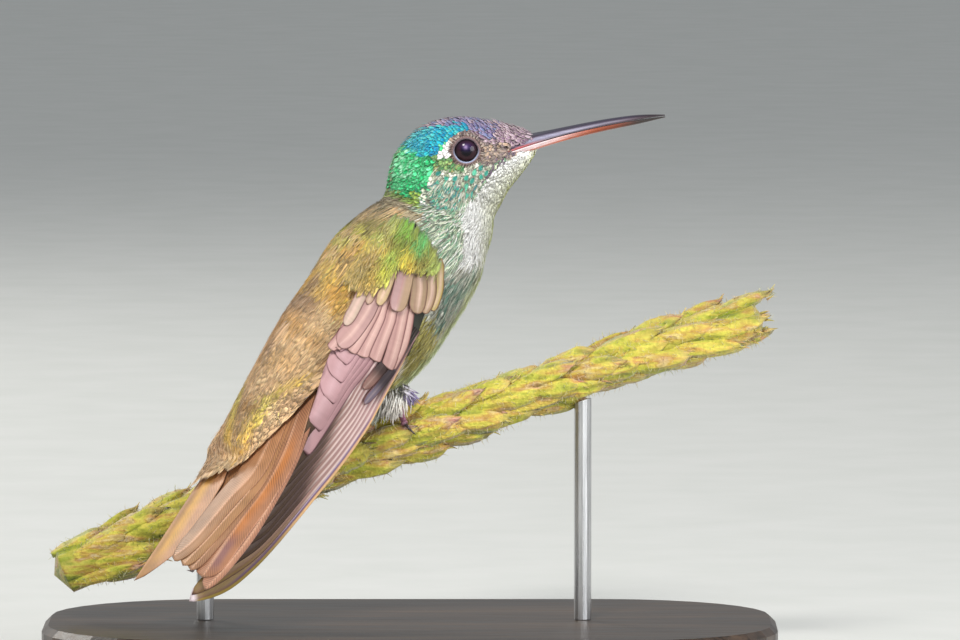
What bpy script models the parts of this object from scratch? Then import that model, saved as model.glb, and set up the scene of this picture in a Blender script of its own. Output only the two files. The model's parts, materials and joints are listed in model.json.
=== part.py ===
"""Azure-crowned hummingbird, life size, perched on a cut flower spike held by a display stand.

Lengths are in millimetres and are scaled to metres as each mesh is made. +Z is up, the bird looks
along +X, and the origin is the middle of the stand's underside.
"""

import math

import bmesh
import bpy
from mathutils import Matrix, Vector

MM = 0.001
GAP = 0.3  # clear space between neighbouring pieces

# The trunk: its axis rises TRUNK_PITCH from level and turns TRUNK_YAW away from +X.
TRUNK_PITCH = math.radians(50)
TRUNK_YAW = math.radians(35)
CHEST = Vector((-1.94, 0.54, 52.9))  # centre of the trunk's deepest section

# Sections of the trunk: place along the axis from the chest, dorsal shift, half depth, half width.
TRUNK_SECTIONS = (
    (-38.0, 4.9, 0.9, 6.0),
    (-33.0, 4.9, 2.6, 7.8),
    (-27.5, 4.6, 4.5, 7.7),
    (-21.0, 3.3, 7.2, 7.7),
    (-14.0, 1.5, 9.8, 8.4),
    (-7.0, 0.5, 10.7, 9.0),
    (0.0, 0.5, 10.8, 9.2),
    (6.3, -0.3, 9.7, 8.6),
)
# Sections of neck and head, tail to bill: centre, backward lean and yaw of the section in degrees,
# half depth, half width.
NECK_AND_HEAD_SECTIONS = (
    ((3.1, 3.6, 60.1), 60, 26, 8.6, 7.6),
    ((4.0, 4.0, 62.3), 62, 19, 8.3, 7.0),
    ((4.9, 4.4, 66.0), 55, 13, 8.4, 6.6),
    ((7.2, 4.7, 69.0), 45, 9, 7.9, 6.3),
    ((9.8, 4.95, 70.6), 38, 6, 6.6, 5.7),
    ((12.5, 5.2, 71.3), 32, 5, 5.0, 4.6),
    ((15.2, 5.45, 71.9), 32, 5, 3.1, 3.0),
    ((17.6, 5.65, 72.5), 32, 5, 1.2, 1.4),
)
RINGS_PER_SECTION = 3
RING_POINTS = 24

# Where the body is parted: section numbers, counted along both tables.
NECK_CUT = 7.9
HEAD_CUT = 10.3

HEAD_YAW = math.radians(5)
BETWEEN_EYES = Vector((7.6, 4.85, 71.25))
EYE_SPREAD = 4.4  # from there out to each eyeball's centre
EYE_RADIUS = 2.3

# The bill is a gentle arc from inside the face to its tip: start, control point and end.
BILL_ARC = (Vector((11.6, 5.1, 70.5)), Vector((24.9, 6.3, 74.65)), Vector((35.5, 7.2, 75.8)))
BILL_HALF_HEIGHTS = (1.0, 1.05, 0.98, 0.92, 0.84, 0.62, 0.16)
BILL_HALF_WIDTHS = (2.3, 2.0, 1.35, 1.05, 0.9, 0.7, 0.2)
BILL_RINGS = 14
BILL_POINTS = 6  # round each half
BILL_SEAM = 0.12  # between the upper and the lower half

# Edges of the folded wing in the trunk's own directions: along, up, right.
WING_LEADING_EDGE = (
    (4.2, 6.2, 7.4),
    (2.0, 0.6, 9.3),
    (-5.0, -2.2, 9.3),
    (-11.5, -3.7, 8.4),
    (-20.0, -4.9, 7.4),
    (-28.8, -5.1, 6.7),
    (-38.0, -4.6, 5.9),
    (-48.0, -3.5, 4.9),
    (-53.2, -1.5, 3.9),
    (-55.8, 1.1, 3.4),
)
WING_INNER_EDGE = (
    (6.0, 8.2, 5.0),
    (1.0, 8.9, 6.0),
    (-7.0, 8.8, 6.6),
    (-14.5, 7.9, 7.0),
    (-20.0, 5.8, 7.2),
    (-26.0, 2.6, 7.2),
    (-35.0, 1.4, 6.2),
    (-46.0, 1.6, 5.0),
    (-53.8, 1.9, 3.8),
    (-55.9, 1.4, 3.4),
)
# The left wing is folded tighter: its tip is further forward and it is narrower.
WING_TIP_DRAWN_UP = {"right": 0.0, "left": 5.4}
WING_NARROWED = {"right": 0.0, "left": 0.35}
COVERT_END = 3.05  # where the coverts end on both edges, counted in steps along them
WING_COLUMNS = 9
WING_CLEARANCE = 0.4
COVERT_THICKNESS, FLIGHT_THICKNESS = 1.5, 0.8

# Fan of the tail by steps from its root: place along the trunk, sideways shift, half width.
TAIL_FAN = (
    (-24.5, 0.2, 5.6),
    (-30.0, 0.5, 7.9),
    (-37.0, 0.8, 9.6),
    (-44.0, 1.0, 10.1),
    (-49.0, 0.9, 9.9),
    (-52.0, 0.6, 9.0),
)
TAIL_RISE, TAIL_TENT = 4.5, 1.6  # height of its middle, and how much lower its edges are
TAIL_FORK = 3.2
TAIL_THICKNESS = 0.8
TAIL_FEATHERS = 10
TAIL_ROWS = 7
FEATHER_TIP_ROUND = 1.3  # how far a tail feather's tip reaches past its corners
FEATHER_STEP = 0.3  # height from one tail feather to the next

# The perch runs along X in the plane Y = 0: height, slope and bend of its axis.
PERCH_HEIGHT, PERCH_SLOPE, PERCH_BEND = 32.0, 0.365, -0.0007
PERCH_HALF_LENGTH = 48.0
PERCH_RADII = (3.75, 2.85)  # at the left and the right end
PERCH_RINGS, PERCH_POINTS = 40, 12
BRACT_RELIEF, BRACT_PITCH, BRACT_ROWS = 0.3, 9.0, 3

# Each foot: where it stands along the perch, and where its leg leaves the trunk.
FEET = {"right": (-0.6, (-12.0, -7.0, 3.0)), "left": (-5.0, (-9.5, -8.0, -2.8))}
THIGH_RADIUS, ANKLE_RADIUS, TOE_RADIUS = 2.1, 0.7, 0.5
TOE_SPREAD = (-1.5, 0.0, 1.5)  # of the three front toes, along the perch
TOE_WRAP, CLAW_WRAP = math.radians(75), math.radians(28)

STAND_LENGTH, STAND_WIDTH, STAND_THICKNESS = 102.0, 62.0, 6.0
STAND_CORNER, STAND_BEVEL = 24.0, 0.9
ROD_RADIUS = 1.2
ROD_PLACES = {"left": -28.5, "right": 24.0}


def clear_scene():
    for obj in list(bpy.data.objects):
        bpy.data.objects.remove(obj)


def finish_material(name, colour, roughness, metallic=0.0):
    made = bpy.data.materials.new(name)
    made.use_nodes = True
    shader = made.node_tree.nodes["Principled BSDF"]
    shader.inputs["Base Color"].default_value = (*colour, 1.0)
    shader.inputs["Roughness"].default_value = roughness
    shader.inputs["Metallic"].default_value = metallic
    return made


def solid(name, points, faces, material):
    """A mesh object from points in millimetres, with its faces turned outwards."""
    bm = bmesh.new()
    verts = [bm.verts.new(Vector(p) * MM) for p in points]
    for face in faces:
        bm.faces.new([verts[i] for i in face])
    bmesh.ops.remove_doubles(bm, verts=bm.verts, dist=1e-6)
    bmesh.ops.recalc_face_normals(bm, faces=bm.faces)
    mesh = bpy.data.meshes.new(name)
    bm.to_mesh(mesh)
    bm.free()
    mesh.shade_smooth()
    mesh.set_sharp_from_angle(angle=math.radians(40))
    mesh.materials.append(material)
    obj = bpy.data.objects.new(name, mesh)
    bpy.context.scene.collection.objects.link(obj)
    return obj


def loft_faces(rings, count):
    """Sides between rings of count points each, and a cap at both ends."""
    faces = [tuple(range(count))[::-1], tuple(range((rings - 1) * count, rings * count))]
    for ring in range(rings - 1):
        for i in range(count):
            a, b = ring * count + i, ring * count + (i + 1) % count
            faces.append((a, b, b + count, a + count))
    return faces


def loft(name, rings, material):
    points = [p for ring in rings for p in ring]
    return solid(name, points, loft_faces(len(rings), len(rings[0])), material)


def spline(values, place):
    """Catmull-Rom value at a place counted in steps along the values, numbers or vectors."""
    last = len(values) - 1
    place = min(max(place, 0.0), float(last))
    i = min(int(place), last - 1)
    t = place - i
    before = values[i - 1] if i > 0 else 2 * values[0] - values[1]
    after = values[i + 2] if i + 2 <= last else 2 * values[last] - values[last - 1]
    a, b = values[i], values[i + 1]
    return 0.5 * (
        2 * a
        + (b - before) * t
        + (2 * before - 5 * a + 4 * b - after) * t**2
        + (3 * a - before - 3 * b + after) * t**3
    )


def section_frame(lean, yaw):
    """Dorsal and right-hand directions of a body section."""
    dorsal = Vector((-math.sin(lean) * math.cos(yaw), -math.sin(lean) * math.sin(yaw), math.cos(lean)))
    return dorsal, Vector((math.sin(yaw), -math.cos(yaw), 0.0))


TRUNK_AXIS = Vector(
    (
        math.cos(TRUNK_PITCH) * math.cos(TRUNK_YAW),
        math.cos(TRUNK_PITCH) * math.sin(TRUNK_YAW),
        math.sin(TRUNK_PITCH),
    )
)
DORSAL, RIGHT = section_frame(TRUNK_PITCH, TRUNK_YAW)


def trunk_point(along, up, right):
    """A point from its place along the trunk's axis, towards the back and towards the right."""
    return CHEST + TRUNK_AXIS * along + DORSAL * up + RIGHT * right


def body_sections():
    """(centre, dorsal, right, half depth, half width) from the tail's root to the bill."""
    sections = [
        (trunk_point(along, up, 0), DORSAL, RIGHT, depth, width)
        for along, up, depth, width in TRUNK_SECTIONS
    ]
    for centre, lean, yaw, depth, width in NECK_AND_HEAD_SECTIONS:
        dorsal, right = section_frame(math.radians(lean), math.radians(yaw))
        sections.append((Vector(centre), dorsal, right, depth, width))
    return sections


SECTIONS = body_sections()


def body_section(place):
    centre, dorsal, right, depth, width = (
        spline([s[i] for s in SECTIONS], place) for i in range(5)
    )
    return centre, dorsal.normalized(), right.normalized(), depth, width


def body_loft(name, material, grow=0.0):
    """The whole body as one closed loft, larger by an amount all round."""
    last = len(SECTIONS) - 1
    steps = last * RINGS_PER_SECTION
    turns = [2 * math.pi * k / RING_POINTS for k in range(RING_POINTS)]
    rings = []
    for i in range(steps + 1):
        centre, dorsal, right, depth, width = body_section(last * i / steps)
        up, out = dorsal * (depth + grow), right * (width + grow)
        rings.append([centre + up * math.cos(turn) + out * math.sin(turn) for turn in turns])
    return loft(name, rings, material)


def cut_flat(obj, point, normal):
    """Keeps the side that the normal points away from, and closes the cut."""
    bm = bmesh.new()
    bm.from_mesh(obj.data)
    cut = bmesh.ops.bisect_plane(
        bm,
        geom=bm.verts[:] + bm.edges[:] + bm.faces[:],
        plane_co=point * MM,
        plane_no=normal,
        clear_outer=True,
    )
    edges = [e for e in cut["geom_cut"] if isinstance(e, bmesh.types.BMEdge)]
    bmesh.ops.holes_fill(bm, edges=edges)
    bm.to_mesh(obj.data)
    bm.free()


def section_normal(place):
    _, dorsal, right, _, _ = body_section(place)
    return right.cross(dorsal) * -1


def body_piece(name, material, start=None, end=None):
    """The body's loft from one cut to another. None keeps the loft's own end."""
    obj = body_loft(name, material)
    for place, side in ((start, -1), (end, 1)):
        if place is not None:
            normal = section_normal(place) * side
            centre = body_section(place)[0] - normal * GAP / 2
            cut_flat(obj, centre, normal)
    return obj


def trunk_half_width(along, up):
    """How far the trunk's surface is from its middle plane, or 0 past the trunk."""
    table = TRUNK_SECTIONS
    if not table[0][0] <= along <= table[-1][0]:
        return 0.0
    i = max(k for k in range(len(table) - 1) if table[k][0] <= along)
    place = i + (along - table[i][0]) / (table[i + 1][0] - table[i][0])
    shift, depth, width = (spline([row[k] for row in table], place) for k in (1, 2, 3))
    return width * math.sqrt(max(0.0, 1 - ((up - shift) / depth) ** 2))


def cut_out(obj, cutter):
    """Takes the cutter's shape out of an object and removes the cutter."""
    boolean = obj.modifiers.new("cut", "BOOLEAN")
    boolean.operation = "DIFFERENCE"
    boolean.solver = "EXACT"
    boolean.object = cutter
    apply_modifiers(obj)
    bpy.data.objects.remove(cutter)


def join_all(obj, others):
    """Joins other objects to this one, as one body."""
    for other in others:
        boolean = obj.modifiers.new("join", "BOOLEAN")
        boolean.operation = "UNION"
        boolean.solver = "EXACT"
        boolean.object = other
    apply_modifiers(obj)
    for other in others:
        bpy.data.objects.remove(other)


def apply_modifiers(obj):
    bpy.context.view_layer.update()
    graph = bpy.context.evaluated_depsgraph_get()
    mesh = bpy.data.meshes.new_from_object(obj.evaluated_get(graph))
    obj.modifiers.clear()
    obj.data = mesh


def ball(name, centre, radius, material, segments=14, rings=8):
    bm = bmesh.new()
    bmesh.ops.create_uvsphere(bm, u_segments=segments, v_segments=rings, radius=radius * MM)
    bmesh.ops.rotate(bm, verts=bm.verts, matrix=Matrix.Rotation(math.radians(90), 3, "X"))
    bmesh.ops.translate(bm, verts=bm.verts, vec=centre * MM)
    mesh = bpy.data.meshes.new(name)
    bm.to_mesh(mesh)
    bm.free()
    mesh.shade_smooth()
    mesh.materials.append(material)
    obj = bpy.data.objects.new(name, mesh)
    bpy.context.scene.collection.objects.link(obj)
    return obj


def head_side(side):
    """Unit direction out of the head, to the right or to the left."""
    return section_frame(0.0, HEAD_YAW)[1] * side


def eye_centre(side):
    return BETWEEN_EYES + head_side(side) * EYE_SPREAD


def bill_half(name, side, material, grow=0.0):
    """The upper (side 1) or lower (side -1) half of the bill, or with side 0 the whole bill."""
    start, control, end = BILL_ARC
    rings = []
    for k in range(BILL_RINGS + 1):
        t = k / BILL_RINGS
        centre = start * (1 - t) ** 2 + control * 2 * t * (1 - t) + end * t**2
        forward = ((control - start) * (1 - t) + (end - control) * t).normalized()
        right = forward.cross(Vector((0, 0, 1))).normalized()
        up = right.cross(forward)
        place = t * (len(BILL_HALF_HEIGHTS) - 1)
        height = spline(BILL_HALF_HEIGHTS, place) + grow
        width = spline(BILL_HALF_WIDTHS, place) + grow
        if side == 0:
            turns = [2 * math.pi * i / (2 * BILL_POINTS) for i in range(2 * BILL_POINTS)]
        else:
            turns = [math.pi * i / BILL_POINTS for i in range(BILL_POINTS + 1)]
        flip = side or 1
        rings.append(
            [
                centre
                + right * width * math.cos(turn)
                + up * flip * (height * math.sin(turn) + (BILL_SEAM / 2 if side else 0))
                for turn in turns
            ]
        )
    return loft(name, rings, material)


def build_head(plumage, horn, eye_material):
    head = body_piece("head", plumage, HEAD_CUT, None)
    cut_out(head, bill_half("cutter", 0, horn, grow=GAP))
    for side, word in ((1, "right"), (-1, "left")):
        ball(f"eye_{word}", eye_centre(side), EYE_RADIUS, eye_material)
        cut_out(head, ball("cutter", eye_centre(side), EYE_RADIUS + GAP / 2, eye_material))
    bill_half("bill_upper", 1, horn)
    bill_half("bill_lower", -1, horn)


def wing_point(u, v, rise, word):
    """A point of the wing: u in steps along its edges, v from leading to inner edge."""
    lead = Vector(spline([Vector(p) for p in WING_LEADING_EDGE], u))
    inner = Vector(spline([Vector(p) for p in WING_INNER_EDGE], u))
    last = len(WING_LEADING_EDGE) - 1
    folded = WING_NARROWED[word] * min(1.0, u / 4)
    place = lead.lerp(inner, folded + (1 - folded) * v)
    place.x += WING_TIP_DRAWN_UP[word] * (u / last) ** 2
    side = trunk_half_width(place.x, place.y) + WING_CLEARANCE
    place.z = max(place.z, side) + 0.15 * math.exp(-abs(place.z - side))
    place.z += rise
    return trunk_point(place.x, place.y, place.z * (1 if word == "right" else -1))


def wing_sheet(name, start, end, rows, thickness, word, material):
    """A curved sheet of the wing between two places along it. It is thinnest at its edges."""
    under, over = [], []
    for j in range(rows + 1):
        u = start + (end - start) * j / rows
        for i in range(WING_COLUMNS + 1):
            v = i / WING_COLUMNS
            full = thickness * (0.55 + 0.45 * math.sin(math.pi * v))
            under.append(wing_point(u, v, 0.0, word))
            over.append(wing_point(u, v, full, word))
    return plate(name, under, over, rows + 1, WING_COLUMNS + 1, material)


def plate(name, under, over, rows, columns, material):
    """A closed plate from two grids of points, one above the other."""
    shift = len(under)
    faces = []
    for j in range(rows - 1):
        for i in range(columns - 1):
            a = j * columns + i
            quad = (a, a + 1, a + 1 + columns, a + columns)
            faces.append(quad)
            faces.append(tuple(k + shift for k in reversed(quad)))
    rim = [i for i in range(columns)]
    rim += [(j + 1) * columns - 1 for j in range(1, rows)]
    rim += [(rows - 1) * columns + i for i in range(columns - 2, -1, -1)]
    rim += [j * columns for j in range(rows - 2, 0, -1)]
    for k, a in enumerate(rim):
        b = rim[(k + 1) % len(rim)]
        faces.append((b, a, a + shift, b + shift))
    return solid(name, under + over, faces, material)


def build_wing(word, coverts, quills):
    last = len(WING_LEADING_EDGE) - 1
    wing_sheet(f"wing_{word}_coverts", 0.0, COVERT_END, 9, COVERT_THICKNESS, word, coverts)
    wing_sheet(
        f"wing_{word}_flight", COVERT_END + 0.06, last, 13, FLIGHT_THICKNESS, word, quills
    )


def tail_columns():
    """Places across the fan from -1 to 1, each with its place across its own feather."""
    step = 2 / TAIL_FEATHERS
    return [
        (-1 + step * (k + 0.5 + offset / 2), offset)
        for k in range(TAIL_FEATHERS)
        for offset in (-0.86, 0.0, 0.86)
    ]


def tail_plate(name, columns, rows, grow, material):
    """A shallow-forked fan, stepped from feather to feather and rounded at each feather's tip."""
    under, over = [], []
    last = len(TAIL_FAN) - 1
    for j in range(rows + 1):
        t = j / rows
        along, shift, width = (spline(column, last * t) for column in zip(*TAIL_FAN))
        for across, offset in columns:
            tip = TAIL_FORK * abs(across) ** 1.3 - FEATHER_TIP_ROUND * offset**2
            place = along - tip * t**3 + grow * (1 - 2 * t)
            rise = TAIL_RISE - TAIL_TENT * across**2
            rise -= FEATHER_STEP / 2 * offset * math.copysign(t, across)
            half = TAIL_THICKNESS / 2 + grow
            side = shift + across * (width + grow)
            under.append(trunk_point(place, rise - half, side))
            over.append(trunk_point(place, rise + half, side))
    return plate(name, under, over, rows + 1, len(columns), material)


def perch_axis(x):
    """A point of the perch's axis, and the unit direction there."""
    height = PERCH_HEIGHT + PERCH_SLOPE * x + PERCH_BEND * x * x
    return Vector((x, 0, height)), Vector((1, 0, PERCH_SLOPE + 2 * PERCH_BEND * x)).normalized()


def perch_radius(x):
    left, right = PERCH_RADII
    return left + (right - left) * (x + PERCH_HALF_LENGTH) / (2 * PERCH_HALF_LENGTH)


def perch_point(x, turn, radius):
    """A point round the perch's axis. Turn 0 is its top, and a quarter turn is its -Y side."""
    centre, axis = perch_axis(x)
    up = Vector((0, -1, 0)).cross(axis)
    return centre + (up * math.cos(turn) + Vector((0, -1, 0)) * math.sin(turn)) * radius


def bract_relief(x, turn):
    """Overlapping bracts that wind round the spike: each swells and drops off at its tip."""
    phase = x / BRACT_PITCH + BRACT_ROWS * turn / (2 * math.pi)
    return BRACT_RELIEF * (phase - math.floor(phase)) ** 2


def build_perch(stem):
    rings = []
    for k in range(PERCH_RINGS + 1):
        x = -PERCH_HALF_LENGTH + 2 * PERCH_HALF_LENGTH * k / PERCH_RINGS
        turns = [2 * math.pi * i / PERCH_POINTS for i in range(PERCH_POINTS)]
        rings.append([perch_point(x, t, perch_radius(x) + bract_relief(x, t)) for t in turns])
    return loft("perch", rings, stem)


def tube(name, points, radii, material, sides=8):
    """A round tube through points, one radius for each."""
    rings = []
    side = None
    for k, point in enumerate(points):
        ahead = points[min(k + 1, len(points) - 1)] - points[max(k - 1, 0)]
        ahead.normalize()
        side = ahead.orthogonal() if side is None else side - ahead * side.dot(ahead)
        side.normalize()
        other = ahead.cross(side)
        turns = [2 * math.pi * i / sides for i in range(sides)]
        rings.append(
            [point + (side * math.cos(t) + other * math.sin(t)) * radii[k] for t in turns]
        )
    return loft(name, rings, material)


def toe(name, x, spread, way, horn):
    """One toe from the ankle over the perch. Way 1 goes down its -Y side and -1 down its +Y side."""
    steps = 7
    points, radii = [], []
    for k in range(steps + 1):
        t = k / steps
        claw = max(0.0, (t - 0.72) / 0.28)
        turn = way * (TOE_WRAP + CLAW_WRAP) * t
        clear = TOE_RADIUS + BRACT_RELIEF + GAP + 0.1
        place = x + spread * min(1.0, 2 * t) + 0.9 * claw * (way > 0)
        points.append(perch_point(place, turn, perch_radius(x) + clear))
        radii.append(TOE_RADIUS * (1 - 0.8 * claw))
    return tube(name, points, radii, horn, sides=6)


def build_leg(word, plumage, horn):
    x, hip = FEET[word]
    ankle = perch_point(x, 0.0, perch_radius(x) + TOE_RADIUS + BRACT_RELIEF + GAP + 0.1)
    hip_point = trunk_point(*hip)
    shin = ankle.lerp(hip_point, 0.3)
    foot = tube(f"foot_{word}", [ankle, shin], [ANKLE_RADIUS, ANKLE_RADIUS * 0.8], horn, sides=6)
    toes = [toe("toe", x, spread, -1, horn) for spread in TOE_SPREAD]  # away from the viewer
    toes.append(toe("toe", x, 0.0, 1, horn))
    join_all(foot, toes)
    start = shin + (hip_point - shin).normalized() * GAP
    points = [start.lerp(hip_point, t) for t in (0.0, 0.3, 0.65, 1.0)]
    radii = [ANKLE_RADIUS * 1.4, THIGH_RADIUS * 0.9, THIGH_RADIUS, THIGH_RADIUS]
    leg = tube(f"leg_{word}", points, radii, plumage)
    cut_out(leg, body_loft("cutter", None, GAP))


def rounded_outline(length, width, corner, steps=8):
    points = []
    for quarter in range(4):
        sx, sy = ((1, 1), (-1, 1), (-1, -1), (1, -1))[quarter]
        middle = Vector((sx * (length / 2 - corner), sy * (width / 2 - corner), 0))
        for k in range(steps + 1):
            turn = math.pi / 2 * (quarter + k / steps)
            points.append(middle + Vector((math.cos(turn), math.sin(turn), 0)) * corner)
    return points


def build_stand(board, steel):
    rings = []
    edge = STAND_THICKNESS - STAND_BEVEL
    for height, inset in ((0.0, 0.0), (edge, 0.0), (STAND_THICKNESS, STAND_BEVEL)):
        outline = rounded_outline(
            STAND_LENGTH - 2 * inset, STAND_WIDTH - 2 * inset, STAND_CORNER - inset
        )
        rings.append([p + Vector((0, 0, height)) for p in outline])
    loft("stand_base", rings, board)
    for word, x in ROD_PLACES.items():
        foot, top = [], []
        for i in range(12):
            turn = 2 * math.pi * i / 12
            px, py = x + ROD_RADIUS * math.cos(turn), ROD_RADIUS * math.sin(turn)
            centre, axis = perch_axis(px)
            clear = perch_radius(px) + BRACT_RELIEF + GAP
            foot.append(Vector((px, py, STAND_THICKNESS + GAP / 3)))
            top.append(Vector((px, py, centre.z - math.sqrt(clear**2 - py**2) / axis.x)))
        loft(f"stand_rod_{word}", [foot, top], steel)


def main():
    clear_scene()
    plumage = finish_material("plumage", (0.45, 0.36, 0.14), 0.6)
    coverts = finish_material("coverts", (0.5, 0.38, 0.2), 0.55)
    quills = finish_material("quills", (0.36, 0.24, 0.2), 0.5)
    horn = finish_material("horn", (0.07, 0.05, 0.06), 0.35)
    eye_material = finish_material("eye", (0.01, 0.008, 0.012), 0.05)
    stem = finish_material("stem", (0.45, 0.5, 0.08), 0.7)
    board = finish_material("board", (0.05, 0.045, 0.04), 0.4)
    steel = finish_material("steel", (0.6, 0.6, 0.6), 0.3, 1.0)
    slot = tail_plate("cutter", [(i / 4 - 1, 0.0) for i in range(9)], 7, GAP, None)
    cut_out(body_piece("trunk", plumage, None, NECK_CUT), slot)
    body_piece("neck", plumage, NECK_CUT, HEAD_CUT)
    build_head(plumage, horn, eye_material)
    for word in ("right", "left"):
        build_wing(word, coverts, quills)
        build_leg(word, plumage, horn)
    tail_plate("tail", tail_columns(), TAIL_ROWS, 0.0, quills)
    build_perch(stem)
    build_stand(board, steel)


main()
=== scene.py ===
import json
import math

import bmesh
import bpy
import numpy as np
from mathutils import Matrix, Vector

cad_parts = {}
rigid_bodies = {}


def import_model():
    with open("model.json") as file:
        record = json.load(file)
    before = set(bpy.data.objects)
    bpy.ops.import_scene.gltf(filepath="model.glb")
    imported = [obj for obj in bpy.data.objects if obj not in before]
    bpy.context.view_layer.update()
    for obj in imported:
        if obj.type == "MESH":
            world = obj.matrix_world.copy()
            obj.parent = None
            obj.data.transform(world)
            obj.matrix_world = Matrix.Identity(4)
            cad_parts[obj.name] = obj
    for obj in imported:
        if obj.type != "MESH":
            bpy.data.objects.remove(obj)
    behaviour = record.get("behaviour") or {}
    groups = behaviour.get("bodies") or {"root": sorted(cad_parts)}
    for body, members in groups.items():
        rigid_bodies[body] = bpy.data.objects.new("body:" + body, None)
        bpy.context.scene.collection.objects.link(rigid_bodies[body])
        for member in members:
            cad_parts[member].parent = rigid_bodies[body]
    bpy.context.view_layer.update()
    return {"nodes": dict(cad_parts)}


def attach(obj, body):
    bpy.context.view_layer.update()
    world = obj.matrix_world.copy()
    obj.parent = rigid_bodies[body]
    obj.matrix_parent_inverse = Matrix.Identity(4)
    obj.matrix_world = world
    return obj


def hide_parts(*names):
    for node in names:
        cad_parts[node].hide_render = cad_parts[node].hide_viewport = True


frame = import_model()
mm = 0.001
rng = np.random.default_rng(7)
print("frame loaded:", len(frame["nodes"]), "solids")


# small helpers for numbers, colours and meshes
def linear(colour):
    # 0-255 screen colour to linear light, for one colour or an array of them
    c = np.asarray(colour, float) / 255
    return np.where(c <= 0.04045, c / 12.92, ((c + 0.055) / 1.055) ** 2.4)


def unit(v):
    return v / np.maximum(np.linalg.norm(v, axis=-1, keepdims=True), 1e-12)


def smooth(low, high, x):
    t = np.clip((np.asarray(x, float) - low) / (high - low), 0, 1)
    return t * t * (3 - 2 * t)


def mix(a, b, t):
    t = np.asarray(t)[..., None]
    return a * (1 - t) + b * t


def fromBack(turn):
    # 0 along the back and pi along the belly, on either side
    return np.abs(np.mod(turn + math.pi, 2 * math.pi) - math.pi)


def curveAt(values, place):
    # Catmull-Rom through rows of values, at places counted in steps along them
    values = np.asarray(values, float)
    last = len(values) - 1
    place = np.clip(np.asarray(place, float), 0, last)
    i = np.minimum(place.astype(int), last - 1)
    t = (place - i)[..., None]
    padded = np.vstack([2 * values[0] - values[1], values, 2 * values[-1] - values[-2]])
    before, a, b, after = padded[i], padded[i + 1], padded[i + 2], padded[i + 3]
    return 0.5 * (
        2 * a + (b - before) * t
        + (2 * before - 5 * a + 4 * b - after) * t**2
        + (3 * a - before - 3 * b + after) * t**3
    )


def gridFaces(rows, columns, start=0, wrap=False):
    # quads of a grid of points; wrap joins the last column to the first
    j, i = np.meshgrid(np.arange(rows - 1), np.arange(columns if wrap else columns - 1), indexing="ij")
    a = (j * columns + i).ravel()
    b = (j * columns + (i + 1) % columns).ravel()
    return np.stack([a, b, b + columns, a + columns], 1) + start


def tubeFaces(count, sides):
    # quads of a closed tube and fans over its ends, whose middles are the two points after its rings
    ring = np.arange(sides)
    after = (ring + 1) % sides
    base = (count - 1) * sides
    start = np.stack([np.full(sides, count * sides), after, ring], 1)
    end = np.stack([np.full(sides, count * sides + 1), base + ring, base + after], 1)
    return [gridFaces(count, sides, wrap=True), start, end]


def capFaces(rows, sides):
    # one face over the first and one over the last row of a grid
    ring = np.arange(sides)
    return [ring[None, ::-1], (ring + (rows - 1) * sides)[None, :]]


def withAlpha(tint, alpha=0.0):
    # alpha says how metallic the sheen of a feather is
    alpha = np.broadcast_to(alpha, tint.shape[:-1])[..., None]
    return np.concatenate([np.clip(tint, 0, 1), alpha], -1)


def cleanUp(obj):
    bm = bmesh.new()
    bm.from_mesh(obj.data)
    bmesh.ops.recalc_face_normals(bm, faces=bm.faces)
    bm.to_mesh(obj.data)
    bm.free()
    return obj


def finishPiece(obj, slot, *nodes):
    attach(obj, "root")
    if nodes:
        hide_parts(*nodes)
    return obj


# helpers for materials
def newMaterial(name, **values):
    material = bpy.data.materials.new(name)
    material.use_nodes = True
    tree = material.node_tree
    shader = tree.nodes["Principled BSDF"]
    for key, value in values.items():
        shader.inputs[key].default_value = value
    return material, tree, shader


def connect(tree, made, key, value):
    # link an input to another node's output, or give it a value of its own
    if hasattr(value, "is_output"):
        tree.links.new(value, made.inputs[key])
    else:
        made.inputs[key].default_value = value


def addNode(tree, kind, inputs=None, **settings):
    made = tree.nodes.new(kind)
    for key, value in settings.items():
        setattr(made, key, value)
    for key, value in (inputs or {}).items():
        connect(tree, made, key, value)
    return made


def mathNode(tree, operation, a, b=None, c=None, clamp=False):
    made = addNode(tree, "ShaderNodeMath", operation=operation, use_clamp=clamp)
    for i, value in enumerate((a, b, c)):
        if value is not None:
            connect(tree, made, i, value)
    return made.outputs[0]


def mixColour(tree, factor, a, b, blend="MIX"):
    made = addNode(tree, "ShaderNodeMix", data_type="RGBA", blend_type=blend)
    for index, value in ((0, factor), (6, a), (7, b)):
        connect(tree, made, index, value)
    return made.outputs[2]


def scaled(tree, vector, factor):
    made = addNode(tree, "ShaderNodeVectorMath", {0: vector}, operation="SCALE")
    connect(tree, made, "Scale", factor)
    return made.outputs[0]


def objectNoise(tree, scale, detail, stretch=None, turned=(0, 0, 0), distortion=0.0):
    # noise in the object's own space, drawn out where stretch is given
    where = addNode(tree, "ShaderNodeTexCoord").outputs["Object"]
    if stretch:
        drawn = addNode(tree, "ShaderNodeMapping", {"Vector": where, "Rotation": turned, "Scale": stretch})
        where = drawn.outputs[0]
    noise = addNode(tree, "ShaderNodeTexNoise", {"Vector": where, "Scale": scale, "Detail": detail,
                                                 "Distortion": distortion})
    return noise.outputs[0]


def addBump(tree, shader, height, strength, distance):
    bump = addNode(tree, "ShaderNodeBump", {"Height": height, "Strength": strength, "Distance": distance})
    tree.links.new(bump.outputs[0], shader.inputs["Normal"])


def tintMaterial(name, scale, detail, gain, least, stretch=None, **values):
    # the piece's own colour attribute, made uneven by noise, which is returned for bump and roughness
    material, tree, shader = newMaterial(name, **values)
    colour = addNode(tree, "ShaderNodeAttribute", attribute_name="tint")
    noise = objectNoise(tree, scale, detail, stretch)
    uneven = mathNode(tree, "MULTIPLY_ADD", noise, gain, least)
    tree.links.new(scaled(tree, colour.outputs["Color"], uneven), shader.inputs["Base Color"])
    return material, tree, shader, noise


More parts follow.
